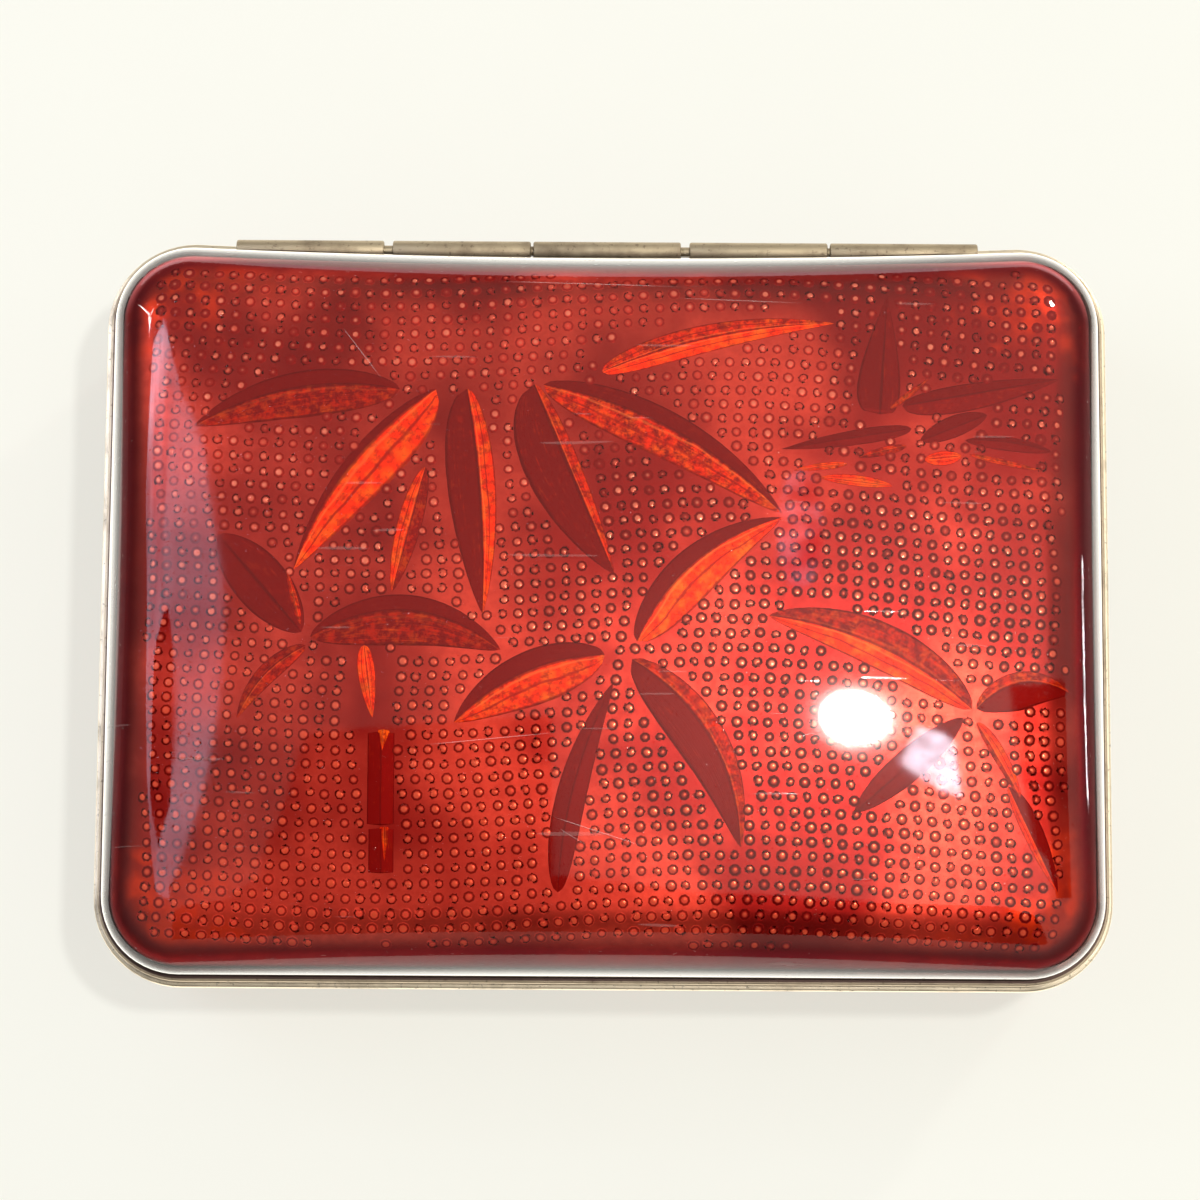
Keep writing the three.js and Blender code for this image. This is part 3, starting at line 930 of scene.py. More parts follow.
class Blade:
    """A leaf, feather or stalk pressed into the foil: a bowed axis from base to tip and the two halves beside it.

    Sizes are in millimetres from the middle of the lid. Widths and the halves' painted light are given as (left,
    right).
    """

    STEPS = 24
    # The points of a cross section, from its right edge to its left one, and back along the hidden side.
    ACROSS = (-1, -0.94, -0.86, -0.45, -0.08, 0, 0.08, 0.45, 0.86, 0.94, 1)
    UNDER = (0.5, 0, -0.5)
    # The more, the more pointed both ends are; and how far on the axis is looked at for its direction.
    POINTEDNESS = 1.35
    LOOK_AHEAD = 0.01

    def __init__(self, base, tip, bow=0, widths=(1, 1), painted_lights=(0, 0), widest=0.4, form="leaf", rise=0.13):
        self.base = Vector(base) * MM
        self.tip = Vector(tip) * MM
        self.bow = bow * MM
        self.widths = (widths[0] * MM, widths[1] * MM)
        self.painted_lights = painted_lights
        self.widest = widest
        self.form = form
        self.rise = rise * MM
        self.middle = (self.base + self.tip) / 2
        span = (self.tip - self.base).length
        self.reach = span / 2 + abs(self.bow) + max(self.widths)
        self.spacing = span / self.STEPS
        self.samples = []
        for step in range(self.STEPS + 1):
            share = step / self.STEPS
            self.samples.append((self.axis(share), self.left(share), self.fullness(share)))

    def axis(self, share):
        """The point of the axis at a share of its length; a positive bow bends it to the left."""
        along = self.tip - self.base
        left = Vector((-along.y, along.x)).normalized()
        pull = self.middle + left * self.bow * 2
        return self.base * (1 - share) ** 2 + pull * 2 * share * (1 - share) + self.tip * share * share

    def left(self, share):
        """The way to the left of the axis, square to it."""
        along = self.axis(min(1, share + self.LOOK_AHEAD)) - self.axis(max(0, share - self.LOOK_AHEAD))
        return Vector((-along.y, along.x)).normalized()

    def fullness(self, share):
        """How much of its width the blade has at a share of its length."""
        if self.form == "stalk":
            return 1.0
        swell = self.POINTEDNESS * self.widest
        taper = self.POINTEDNESS * (1 - self.widest)
        peak = self.widest ** swell * (1 - self.widest) ** taper
        return max(0.0, share) ** swell * max(0.0, 1 - share) ** taper / peak

    def spot(self, share, across):
        """The point of the plan at a share of the length and of the width, left being positive."""
        width = self.widths[0] if across > 0 else self.widths[1]
        return self.axis(share) + self.left(share) * across * width * self.fullness(share)

    def covers(self, x, y, clearance):
        """Whether a point of the plan lies on the blade, or closer to it than the clearance."""
        point = Vector((x, y))
        if (point - self.middle).length > self.reach + clearance:
            return False
        for place, left, full in self.samples:
            away = point - place
            across = away.dot(left)
            width = self.widths[0] if across > 0 else self.widths[1]
            if abs(across) < width * full + clearance and abs(away.cross(left)) < self.spacing + clearance / 2:
                return True
        return False


# What is pressed into the lid's foil: four leaf sprays, a length of cane and a bird on the wing.
# Each blade gives the painted light of its left and right halves, from 0 in shade to 1 fully lit.
TOP_SPRAY = (
    Blade((-23.0, 23.5), (-46.0, 19.5), bow=-2.2, widths=(3.6, 1.9), painted_lights=(0.26, 0.0), widest=0.42),
    Blade((-19.0, 23.5), (-34.5, 3.0), bow=-2.2, widths=(4.8, 0.9), painted_lights=(0.95, 0.03), widest=0.38),
    Blade((-20.0, 14.5), (-23.5, 0.5), widths=(1.3, 1.5), painted_lights=(0.18, 0.85), widest=0.45),
    Blade((-15.5, 23.5), (-13.5, -2.0), bow=0.7, widths=(1.8, 3.7), painted_lights=(0.85, 0.03), widest=0.38),
    Blade((-8.0, 24.0), (1.0, 2.5), widths=(1.3, 5.0), painted_lights=(0.5, 0.03), widest=0.38),
    Blade((-7.0, 24.0), (19.5, 9.5), bow=2.4, widths=(1.9, 3.7), painted_lights=(0.03, 0.55), widest=0.42),
    Blade((-0.5, 25.5), (25.5, 31.5), bow=1.3, widths=(1.7, 1.7), painted_lights=(0.6, 0.95), widest=0.35),
)
LEFT_SPRAY = (
    Blade((-32.5, -4.5), (-11.5, -6.0), bow=3.6, widths=(1.8, 4.0), painted_lights=(0.0, 0.22), widest=0.45),
    Blade((-33.0, -5.5), (-40.5, -13.5), bow=-1.1, widths=(1.3, 1.0), painted_lights=(0.40, 0.2)),
    Blade((-33.5, -4.0), (-43.0, 7.0), widths=(2.9, 3.2), painted_lights=(0.0, 0.03), widest=0.5),
    Blade((-33.6, -3.2), (-35.2, 2.8), widths=(0.45, 0.45), painted_lights=(0.5, 0.6), rise=0.2),
    Blade((-26.5, -5.5), (-25.5, -13.5), widths=(0.9, 1.1), painted_lights=(0.75, 0.95), widest=0.35),
)
MIDDLE_SPRAY = (
    Blade((3.5, -5.0), (19.5, 9.0), bow=2.5, widths=(1.9, 3.7), painted_lights=(0.0, 0.9), widest=0.4),
    Blade((0.0, -6.5), (-16.5, -14.0), bow=-1.8, widths=(4.0, 2.2), painted_lights=(0.8, 0.0), widest=0.42),
    Blade((1.0, -9.5), (-5.0, -32.5), bow=-1.3, widths=(1.7, 1.7), painted_lights=(0.0, 0.03), widest=0.62),
    Blade((3.0, -7.0), (15.0, -27.5), bow=3.2, widths=(1.8, 4.0), painted_lights=(0.4, 0.0), widest=0.4),
)
RIGHT_SPRAY = (
    Blade((40.5, -12.0), (18.0, -2.0), bow=-2.0, widths=(2.5, 2.8), painted_lights=(0.95, 0.3), widest=0.45),
    Blade((41.0, -12.0), (51.5, -10.0), bow=2.0, widths=(1.3, 3.0), painted_lights=(0.5, 0.0), widest=0.45),
    Blade((39.5, -13.0), (27.5, -23.5), widths=(1.8, 1.8), painted_lights=(0.0, 0.03), widest=0.5),
    Blade((41.0, -13.5), (46.0, -22.0), widths=(1.2, 0.4), painted_lights=(0.9, 0.5)),
    Blade((44.5, -20.5), (50.0, -32.0), widths=(1.5, 0.8), painted_lights=(0.0, 0.95), rise=0.16),
)
CANE = (
    Blade((-24.5, -15.0), (-24.5, -25.3), widths=(1.5, 1.5), painted_lights=(0.0, 0.0), form="stalk"),
    Blade((-24.4, -25.6), (-24.4, -30.5), widths=(1.4, 1.4), painted_lights=(0.0, 0.0), form="stalk"),
    Blade((-24.4, -14.8), (-24.4, -17.8), widths=(0.9, 0.5), painted_lights=(0.6, 0.95), widest=0.12, rise=0.26),
    Blade((-24.0, -25.4), (-24.0, -29.8), widths=(0.5, 0.7), painted_lights=(0.5, 0.85), widest=0.15, rise=0.26),
)
BIRD = (
    Blade((30.5, 21.0), (31.5, 35.0), widths=(2.8, 2.1), painted_lights=(0.0, 0.03), widest=0.2),
    Blade((33.0, 22.0), (50.8, 25.6), widths=(1.3, 1.9), painted_lights=(0.0, 0.05), widest=0.35),
    Blade((34.0, 19.4), (19.5, 16.8), widths=(0.9, 0.9), painted_lights=(0.0, 0.0), widest=0.35),
    Blade((35.0, 18.0), (42.5, 21.2), widths=(1.4, 1.1), painted_lights=(0.0, 0.0), widest=0.5),
    Blade((40.0, 18.2), (49.7, 17.2), bow=0.4, widths=(0.6, 1.0), painted_lights=(0.0, 0.0), widest=0.5),
    Blade((40.5, 16.6), (48.5, 15.0), widths=(0.3, 0.4), painted_lights=(0.5, 0.6)),
    Blade((26.8, 15.2), (20.8, 14.4), widths=(0.35, 0.5), painted_lights=(0.7, 0.95)),
    Blade((31.8, 12.8), (23.8, 13.6), widths=(0.5, 0.8), painted_lights=(1.0, 0.95), widest=0.5),
    Blade((35.4, 15.9), (39.6, 16.4), widths=(0.8, 0.9), painted_lights=(0.95, 0.9), widest=0.5),
    Blade((31.6, 21.6), (36.0, 25.2), widths=(0.35, 0.35), painted_lights=(0.55, 0.6), rise=0.26),
    Blade((33.4, 17.4), (28.0, 16.0), widths=(0.5, 0.5), painted_lights=(0.3, 0.55)),
)
# Places where the foil was left plain.
PLAIN = (
    Blade((-2.5, 26.5), (26.5, 32.5), bow=2.0, widths=(1.0, 1.0)),
    Blade((-26.5, -3.5), (-25.5, -17.0), widths=(2.5, 2.7), widest=0.5),
)
# The pieces that the relief is made as.
RELIEF = {
    "lid_foil_top_spray": TOP_SPRAY,
    "lid_foil_left_spray": LEFT_SPRAY,
    "lid_foil_middle_spray": MIDDLE_SPRAY,
    "lid_foil_right_spray": RIGHT_SPRAY,
    "lid_foil_cane": CANE,
    "lid_foil_bird": BIRD,
}
# All that the stippled ground stays clear of.
LID_MOTIFS = sum(RELIEF.values(), PLAIN)

# A blade's cross section: how deep its two edges and its hidden side lie in the foil, and how far the rest
# stands clear of it at the least.
BLADE_SINK = 0.02 * MM
UNDERSIDE = 0.025 * MM
BLADE_LIFT = 0.02 * MM
# The first and last cross section, in steps from the blade's base and tip.
BASE_STEP, TIP_STEP = 0.5, 0.4
# How far apart the leaf maps of two blades of one spray lie, so that no two have the same veins.
VEIN_SHIFT = 3.7


def press_blade(bm, box, blade, number):
    """Adds one blade to a mesh: a low closed relief on the foil, folded along its axis."""
    along = bm.verts.layers.float["along"]
    across = bm.verts.layers.float["across"]

    def mark(loop, share, sides):
        for vert, side in zip(loop, sides):
            vert[along] = share + number * VEIN_SHIFT
            vert[across] = side

    def on_foil(spot, lift=0.0):
        return lid_point(box, spot.x, spot.y, box.foil_depth) + Vector((0, 0, lift))

    def ring(share):
        fullness = math.sqrt(blade.fullness(share))
        lifts = [
            -BLADE_SINK if abs(side) == 1 else BLADE_LIFT + blade.rise * (1 - abs(side)) * fullness
            for side in blade.ACROSS
        ] + [-UNDERSIDE] * len(blade.UNDER)
        return [on_foil(blade.spot(share, side), lift) for side, lift in zip(sides, lifts)]

    sides = blade.ACROSS + blade.UNDER
    shares = [BASE_STEP / blade.STEPS, *(step / blade.STEPS for step in range(1, blade.STEPS))]
    shares.append(1 - TIP_STEP / blade.STEPS)
    first = loop = first_loop(bm, ring(shares[0]))
    mark(first, shares[0], sides)
    for share in shares[1:]:
        loop = next_loop(bm, loop, ring(share))
        mark(loop, share, sides)
    for loop, share in ((loop, 1), (first, 0)):
        point = on_foil(blade.axis(share))
        tip = next_loop(bm, loop, [point] * len(loop))
        mark(tip, share, [0] * len(tip))
        bmesh.ops.pointmerge(bm, verts=tip, merge_co=point)


def pressed_piece(box, material, name, blades):
    """Makes one piece of the foil's relief out of its blades."""
    bm = bmesh.new()
    along = bm.verts.layers.float.new("along")
    across = bm.verts.layers.float.new("across")
    painted_light = bm.faces.layers.float.new("painted_light")
    leaf = bm.loops.layers.uv.new("leaf")
    done = 0
    for number, blade in enumerate(blades):
        press_blade(bm, box, blade, number)
        bm.faces.ensure_lookup_table()
        for face in bm.faces[done:]:
            # Each face takes the painted light of the half that it lies on.
            left = sum(vert[across] for vert in face.verts) > 0
            face[painted_light] = blade.painted_lights[0 if left else 1]
        done = len(bm.faces)
    for face in bm.faces:
        for corner in face.loops:
            corner[leaf].uv = (corner.vert[along], corner.vert[across])
    finished_piece(bm, name, material, "lid")


class KEEPSAKE_OT_relief(bpy.types.Operator):
    """Presses the four leaf sprays, the cane and the bird into the lid's foil"""

    bl_idname = "keepsake.relief"
    bl_label = "Foil Relief"

    def execute(self, context):
        leaves = foil_leaf_finish(context.scene.keepsake_finishes)
        for name, blades in RELIEF.items():
            pressed_piece(context.scene.keepsake_box, leaves, name, blades)
        return {"FINISHED"}


class KEEPSAKE_OT_body_enamel(bpy.types.Operator):
    """Makes the clear enamel round the body's wall"""

    bl_idname = "keepsake.body_enamel"
    bl_label = "Body Enamel"

    def execute(self, context):
        box = context.scene.keepsake_box
        glass = clear_enamel_finish(context.scene.keepsake_finishes, "body_clear_enamel")
        wall_layer(box, "body_clear_enamel", 0, box.enamel, glass, ["body_red_enamel"])
        return {"FINISHED"}


class KEEPSAKE_OT_body_foil(bpy.types.Operator):
    """Makes the plain ground of the foil round the body's wall, in the lid foil's finish"""

    bl_idname = "keepsake.body_foil"
    bl_label = "Body Foil"

    def execute(self, context):
        box = context.scene.keepsake_box
        foil = bpy.data.materials["foil_ground"]
        inner = box.foil_depth + box.foil
        wall_layer(box, "body_foil_ground", box.foil_depth, inner, foil, ["body_embossed_foil"])
        return {"FINISHED"}


# Plain foil on the body's wall, above its rounded base edge and below its rim.
WALL_BORDER_LOW = 0.6 * MM
WALL_BORDER_HIGH = 1.2 * MM


def on_outline(legs, along):
    """The point at a distance along an outline, and the way that the outline runs there."""
    for start, end in legs:
        if along <= (end - start).length:
            break
        along -= (end - start).length
    way = (end - start).normalized()
    return start + way * along, way


class KEEPSAKE_OT_body_stipple(bpy.types.Operator):
    """Stamps the stippled ground round the body's wall, in the lid bosses' finish"""

    bl_idname = "keepsake.body_stipple"
    bl_label = "Body Stipple"

    def execute(self, context):
        box, stipple = context.scene.keepsake_box, context.scene.keepsake_stipple
        chance = random.Random(stipple.seed + 1)
        outline = [Vector(point) for point in plan_outline(box, box.wall_step + box.foil_depth)]
        legs = list(zip(outline, outline[1:] + outline[:1]))
        around = sum((end - start).length for start, end in legs)
        count = round(around / stipple.pitch)
        low = box.base_edge_radius + WALL_BORDER_LOW
        high = WALL_HIGH.z - WALL_BORDER_HIGH
        rows = int((high - low) / stipple.row_pitch)
        places = []
        for row in range(rows + 1):
            height = low + (high - low) * row / rows
            for column in range(count):
                along = ((column + 0.5 * (row % 2)) * around / count) % around
                along += chance.uniform(-1, 1) * stipple.wander
                spot, way = on_outline(legs, along)
                lift = height + chance.uniform(-1, 1) * stipple.wander
                places.append((Vector((spot.x, spot.y, lift)), Vector((way.y, -way.x, 0))))
        stamped_piece("body_foil_bosses", stipple, places, chance, bpy.data.materials["foil_bosses"], "body")
        return {"FINISHED"}


# Depth and height of the block that is cut off behind the lid's rim.
CUT_BLOCK = 10 * MM


def eased(ease):
    """The three points of an eased edge, each as its distances from the two sides that meet there."""
    return (ease, 0), (ease * EASED_MIDDLE, ease * EASED_MIDDLE), (0, ease)


def rim_band(box, outer_inset, bottom, top):
    """A metal band round a mouth, its two outer edges eased."""
    bm = bmesh.new()
    inner_inset = box.wall_step + box.lining_depth + box.lining + box.rim_lap
    rings = [level_ring(box, inner_inset, bottom), level_ring(box, inner_inset, top)]
    rings += [level_ring(box, outer_inset + across, top - down) for across, down in eased(box.rim_edge)]
    rings += [level_ring(box, outer_inset + across, bottom + up) for across, up in eased(box.rim_edge)[::-1]]
    close_band(bm, *loft(bm, rings))
    return bm


def turned_bar(profile, sides):
    """A profile of (radius, x) points spun about the hinge line."""
    bm = bmesh.new()
    centre = Vector((0, (PIN_LOW.y + PIN_HIGH.y) / 2, (PIN_LOW.z + PIN_HIGH.z) / 2))
    verts = [bm.verts.new((x, centre.y + radius, centre.z)) for radius, x in profile]
    edges = [bm.edges.new(pair) for pair in zip(verts, verts[1:])]
    if profile[0][0] > 0:
        edges.append(bm.edges.new((verts[-1], verts[0])))
    bmesh.ops.spin(
        bm, geom=verts + edges, cent=centre, axis=(1, 0, 0), dvec=(0, 0, 0),
        angle=math.tau, steps=sides, use_merge=True, use_duplicate=False,
    )
    bmesh.ops.remove_doubles(bm, verts=bm.verts, dist=SPIN_MERGE_DISTANCE)
    return bm


def hinge_groove():
    """What is cut out of both rims for the barrel."""
    radius = (BARREL_HIGH.z - BARREL_LOW.z) / 2 + GROOVE_CLEARANCE
    end = PIN_HIGH.x + GROOVE_END_PLAY
    return turned_bar([(0, -end), (radius, -end), (radius, end), (0, end)], GROOVE_SIDES)


def behind_lid_rim(box):
    """What is cut off the back of the lid's rim, so that it clears the barrel when the lid turns."""
    bm = bmesh.new()
    middle = Matrix.Translation((0, LID_RIM_HIGH.y + CUT_BLOCK / 2, LID_RIM_LOW.z))
    bmesh.ops.create_cube(bm, size=1, matrix=middle @ Matrix.Diagonal((box.width, CUT_BLOCK, CUT_BLOCK, 1)))
    return bm


def cut_away(piece, cutter_bm):
    """Cuts a solid out of a piece and keeps the result as its own mesh."""
    bmesh.ops.recalc_face_normals(cutter_bm, faces=cutter_bm.faces)
    cutter = placed(cutter_bm, "cutter")
    cut = piece.modifiers.new("cut", "BOOLEAN")
    cut.operation = "DIFFERENCE"
    cut.solver = "EXACT"
    cut.object = cutter
    bpy.context.view_layer.update()
    left = bpy.data.meshes.new_from_object(piece.evaluated_get(bpy.context.evaluated_depsgraph_get()))
    piece.modifiers.remove(cut)
    spent = piece.data, cutter.data
    piece.data = left
    bpy.data.objects.remove(cutter)
    for mesh in spent:
        bpy.data.meshes.remove(mesh)
    left.name = piece.name
    left.set_sharp_from_angle(angle=SHARP_ANGLE)


class KEEPSAKE_OT_rims(bpy.types.Operator):
    """Makes the two metal rims, grooved at the back for the barrel"""

    bl_idname = "keepsake.rims"
    bl_label = "Rims"

    def execute(self, context):
        box, finishes = context.scene.keepsake_box, context.scene.keepsake_finishes
        brass = worn_metal_finish(
            "body_rim_brass", finishes.brass, finishes.tarnish, rough=0.28, brushed=(1, 1, 30),
        )
        plate = worn_metal_finish(
            "lid_rim_plate", finishes.lid_rim, finishes.tarnish, rough=0.3, brushed=(1, 1, 30), box=box,
        )
        band = rim_band(box, 0, RIM_LOW.z, RIM_HIGH.z)
        body_rim = finished_piece(band, "body_rim_band", brass, "body", ["body_rim"])
        cut_away(body_rim, hinge_groove())
        band = rim_band(box, RIM_HIGH.x - LID_RIM_HIGH.x, LID_RIM_LOW.z, LID_RIM_HIGH.z)
        lid_rim = finished_piece(band, "lid_rim_band", plate, "lid", ["lid_rim"])
        cut_away(lid_rim, hinge_groove())
        cut_away(lid_rim, behind_lid_rim(box))
        return {"FINISHED"}


class KEEPSAKE_OT_barrel(bpy.types.Operator):
    """Makes the five hinge knuckles and the pin through them"""

    bl_idname = "keepsake.barrel"
    bl_label = "Hinge Barrel"

    def execute(self, context):
        finishes = context.scene.keepsake_finishes
        brass = worn_metal_finish(
            "barrel_brass", finishes.barrel, finishes.tarnish, rough=0.5, brushed=(1, 20, 20),
        )
        radius = (BARREL_HIGH.z - BARREL_LOW.z) / 2
        pin_radius = (PIN_HIGH.z - PIN_LOW.z) / 2
        bore = pin_radius + BORE_CLEARANCE
        edge = eased(KNUCKLE_EASING)
        for node in (
            "body_knuckle_left", "lid_knuckle_left", "body_knuckle_centre", "lid_knuckle_right", "body_knuckle_right",
        ):
            low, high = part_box(node)
            profile = [(bore, low.x)]
            profile += [(radius - inward, low.x + along) for inward, along in edge]
            profile += [(radius - inward, high.x - along) for inward, along in edge[::-1]]
            profile += [(bore, high.x)]
            name, body = node.replace("knuckle", "barrel"), node.split("_")[0]
            finished_piece(turned_bar(profile, KNUCKLE_SIDES), name, brass, body, [node])
        pin = turned_bar([
            (0, PIN_LOW.x), (pin_radius - PIN_CHAMFER, PIN_LOW.x), (pin_radius, PIN_LOW.x + PIN_CHAMFER),
            (pin_radius, PIN_HIGH.x - PIN_CHAMFER), (pin_radius - PIN_CHAMFER, PIN_HIGH.x), (0, PIN_HIGH.x),
        ], PIN_SIDES)
        finished_piece(pin, "barrel_pin", brass, "body", ["hinge_pin"])
        return {"FINISHED"}


class KEEPSAKE_OT_linings(bpy.types.Operator):
    """Makes the plain enamel inside the body and inside the lid"""

    bl_idname = "keepsake.linings"
    bl_label = "Linings"

    def execute(self, context):
        box, finishes = context.scene.keepsake_box, context.scene.keepsake_finishes
        glaze = opaque_enamel_finish("lining_enamel", finishes.lining, LINING_FLECK, rough=0.12)
        outer = box.lining_depth
        inner = box.lining_depth + box.lining
        lid_layer(box, "lid_lining", outer, inner, glaze, ["lid_lining_enamel"])
        tray_layer(box, "body_lining", outer, inner, glaze, ["body_lining_enamel"])
        return {"FINISHED"}


class KEEPSAKE_OT_base(bpy.types.Operator):
    """Makes the dark enamel that the box stands on"""

    bl_idname = "keepsake.base"
    bl_label = "Base Enamel"

    def execute(self, context):
        box, finishes = context.scene.keepsake_box, context.scene.keepsake_finishes
        glaze = opaque_enamel_finish("base_enamel", finishes.base, BASE_FLECK, rough=0.2)
        inset = box.wall_step + box.base_edge_radius + BASE_GAP
        rings = [level_ring(box, inset, BASE_HIGH.z)]
        rings += [level_ring(box, inset + across, up) for across, up in eased(BASE_EASING)[::-1]]
        rings.append([Vector((point.x * BASE_RING, point.y * BASE_RING, 0)) for point in rings[-1]])
        bm = bmesh.new()
        first, last = loft(bm, rings)
        close_to_point(bm, last, Vector((0, 0, 0)))
        close_to_point(bm, first, Vector((0, 0, BASE_HIGH.z)))
        finished_piece(bm, "base_plate", glaze, "body", ["body_base_enamel"])
        return {"FINISHED"}


class KEEPSAKE_OT_copper(bpy.types.Operator):
    """Makes the two beaten copper pans between the enamels"""

    bl_idname = "keepsake.copper"
    bl_label = "Copper Pans"

    def execute(self, context):
        box, finishes = context.scene.keepsake_box, context.scene.keepsake_finishes
        copper = worn_metal_finish(
            "beaten_copper", finishes.copper, finishes.tarnish, rough=0.35, brushed=(1, 1, 1),
        )
        outer = box.foil_depth + box.foil + COPPER_GAP
        inner = box.lining_depth - COPPER_GAP
        lid_layer(box, "lid_copper", outer, inner, copper, ["lid_copper_pan"])
        tray_layer(box, "body_copper", outer, inner, copper, ["body_copper_pan"])
        return {"FINISHED"}


# The studio: where things lie about the box, in metres

AIM = Vector((-0.57 * MM, 1.45 * MM, RIM_HIGH.z))
CLIP_START, CLIP_END = 0.01, 20
SENSOR_WIDTH = 36
GROUND_REACH = 3
PAPER_SOFTNESS = 0.03
CEILING_LAMP = Vector((0.221, 0.013, 1.018))
CEILING_LAMP_SIZE = 0.054
CORNER_LAMP = Vector((0.585, 0.590, 0.669))
CORNER_LAMP_SIZE = 0.08
CORNER_LAMP_WATTS = 1.6
# The room's air: from which to which height of a direction it brightens, and how far to the right.
AIR_CLIMB, AIR_AT_HORIZON = (0.15, 0.55), 0.10
AIR_SIDEWAYS, AIR_GAIN_RIGHT = (-0.2, 0.35), 1.7
GLARE_START, GLARE_FULL, GLARE_GAIN = math.radians(18), math.radians(2), 2.0
CLOTH_DARK, CLOTH_PALE = (0.012, 0.010, 0.012), (0.03, 0.025, 0.03)
PAPER_SHADED = 0.985
PAPER_MIRRORED = (1.0, 0.972, 0.875)
BEYOND_PAPER = (0.05, 0.04, 0.04)
ROOM_TINT = (1.0, 0.985, 0.86)

# Heights and outlines of what the polish mirrors
OVERHEAD = 0.55
WINDOW = (
    (-0.211, -0.086), (-0.204, -0.050), (-0.200, 0.000), (-0.199, 0.056), (-0.202, 0.098),
    (-0.208, 0.141), (-0.213, 0.186), (-0.220, 0.215), (-0.231, 0.240), (-0.264, 0.270),
    (-0.361, 0.300), (-0.607, 0.328), (-0.765, 0.280), (-0.817, 0.232), (-0.674, 0.126),
    (-0.606, 0.041), (-0.499, -0.023), (-0.343, -0.080), (-0.223, -0.120),
)
POST_HEIGHT = 0.54
WINDOW_POST = (
    (-0.246, 0.078), (-0.226, 0.050), (-0.221, 0.019), (-0.218, -0.020), (-0.219, -0.050),
    (-0.252, -0.076), (-0.406, -0.039), (-0.414, 0.015), (-0.405, 0.055),
)
DARK_HEIGHT = 0.47
DARK_CARD = (
    (-0.134, -0.012), (-0.023, -0.005), (-0.021, -0.100), (0.041, -0.110), (0.172, -0.108), (0.420, -0.600),
    (-0.260, -0.600), (-0.180, -0.118), (-0.148, -0.092),
)
SIDE_CARD = ((0.186, 0.024), (0.600, 0.055), (0.600, -0.100), (0.340, -0.100), (0.191, -0.067))
LAMP_SHADE = (
    (0.161, -0.003), (0.174, -0.006), (0.180, -0.011), (0.180, -0.031), (0.181, -0.047),
    (0.172, -0.044), (0.161, -0.037), (0.151, -0.028),
)
SEAM_CENTRE, SEAM_RADII, SEAM_SIDES = (0.102, 0.132), (0.012, 0.045), 12
# Upright cards, corner by corner
BACK_GLOW = ((-1.0, 0.9, 0.0), (1.0, 0.9, 0.0), (1.0, 0.9, 0.11), (-1.0, 0.9, 0.11))
SIDE_PANE = ((1.04, 0.030, 0.06), (1.04, 0.185, 0.06), (1.04, 0.185, 0.12), (1.04, 0.030, 0.12))
SPARK_LEFT = ((-0.904, 0.510, 0.253), (-0.792, 0.399, 0.594), (-0.774, 0.407, 0.613), (-0.853, 0.475, 0.436))
SPARK_RIGHT = ((-0.792, 0.399, 0.594), (-0.619, 0.545, 0.677), (-0.666, 0.513, 0.659), (-0.774, 0.407, 0.613))


def facing(place, aim, upright):
    """The turn that points -Z from a place to an aim, with +Y as near upright as it goes."""
    back = (Vector(place) - Vector(aim)).normalized()
    side = Vector(upright).cross(back).normalized()
    return Matrix((side, back.cross(side), back)).transposed()


def paper_finish(studio):
    """Pale paper under the box; to the left and right it ends in what the polish mirrors."""
    finish = Finish("ground_paper")
    shaded = [channel * PAPER_SHADED for channel in studio.ground]
    paper = finish.colours(finish.ranged(finish.noise(60), 0.3, 0.7), studio.ground, shaded)
    kinds, seen = finish.rays()
    away = finish.maths("ABSOLUTE", finish.maths("ADD", finish.axes(finish.place)["X"], studio.paper_shift))
    beyond = finish.ranged(away, studio.paper_reach, studio.paper_reach + PAPER_SOFTNESS, smooth=True)
    beyond = finish.product(beyond, finish.maths("SUBTRACT", 1.0, kinds["Is Camera Ray"]))
    matt = finish.shader("BsdfDiffuse", {
        "Color": finish.colours(finish.product(beyond, 0.8), paper, BEYOND_PAPER),
    })
    mirrored = finish.product(kinds["Is Glossy Ray"], finish.maths("SUBTRACT", 1.0, beyond))
    glow = finish.shader("Emission", {
        "Color": PAPER_MIRRORED, "Strength": finish.ranged(mirrored, 0, 1, 1, 1.9),
    })
    share = finish.product(finish.maths("MAXIMUM", seen, mirrored), 0.65)
    return finish.done(finish.mixed(share, matt, glow))


def lay_ground(studio):
    """The paper that the box stands on."""
    bm = bmesh.new()
    bmesh.ops.create_grid(bm, x_segments=4, y_segments=4, size=GROUND_REACH)
    ground = placed(bm, "ground")
    ground.data.materials.append(paper_finish(studio))


def light_room(scene, studio):
    """The world: white to the camera, and else a room that is brighter overhead, to the right and by the lamp."""
    scene.world = bpy.data.worlds.new("studio_air")
    air = Nodes(scene.world)
    way = air.node("TexCoord").outputs["Generated"]
    axes = air.axes(way)
    climb = air.ranged(axes["Z"], *AIR_CLIMB, AIR_AT_HORIZON, studio.air_strength, smooth=True)
    sideways = air.ranged(axes["X"], *AIR_SIDEWAYS, 1.0, AIR_GAIN_RIGHT)
    towards = air.node("VectorMath", {0: way, 1: CEILING_LAMP.normalized()}, operation="DOT_PRODUCT")
    nearness = towards.outputs["Value"]
    glare = air.ranged(nearness, math.cos(GLARE_START), math.cos(GLARE_FULL), 1.0, GLARE_GAIN, smooth=True)
    room = air.shader("Background", {"Color": ROOM_TINT, "Strength": air.product(climb, sideways, glare)})
    white = air.shader("Background", {"Color": PLAIN_WHITE, "Strength": 1.0})
    air.node("OutputWorld", {"Surface": air.mixed(air.rays()[1], room, white)})


def cloth_finish():
    """The dark things overhead."""
    finish = Finish("dark_cloth")
    weave = finish.colours(finish.noise(40, detail=2), CLOTH_DARK, CLOTH_PALE)
    return finish.done(finish.shader("BsdfDiffuse", {"Color": weave}))


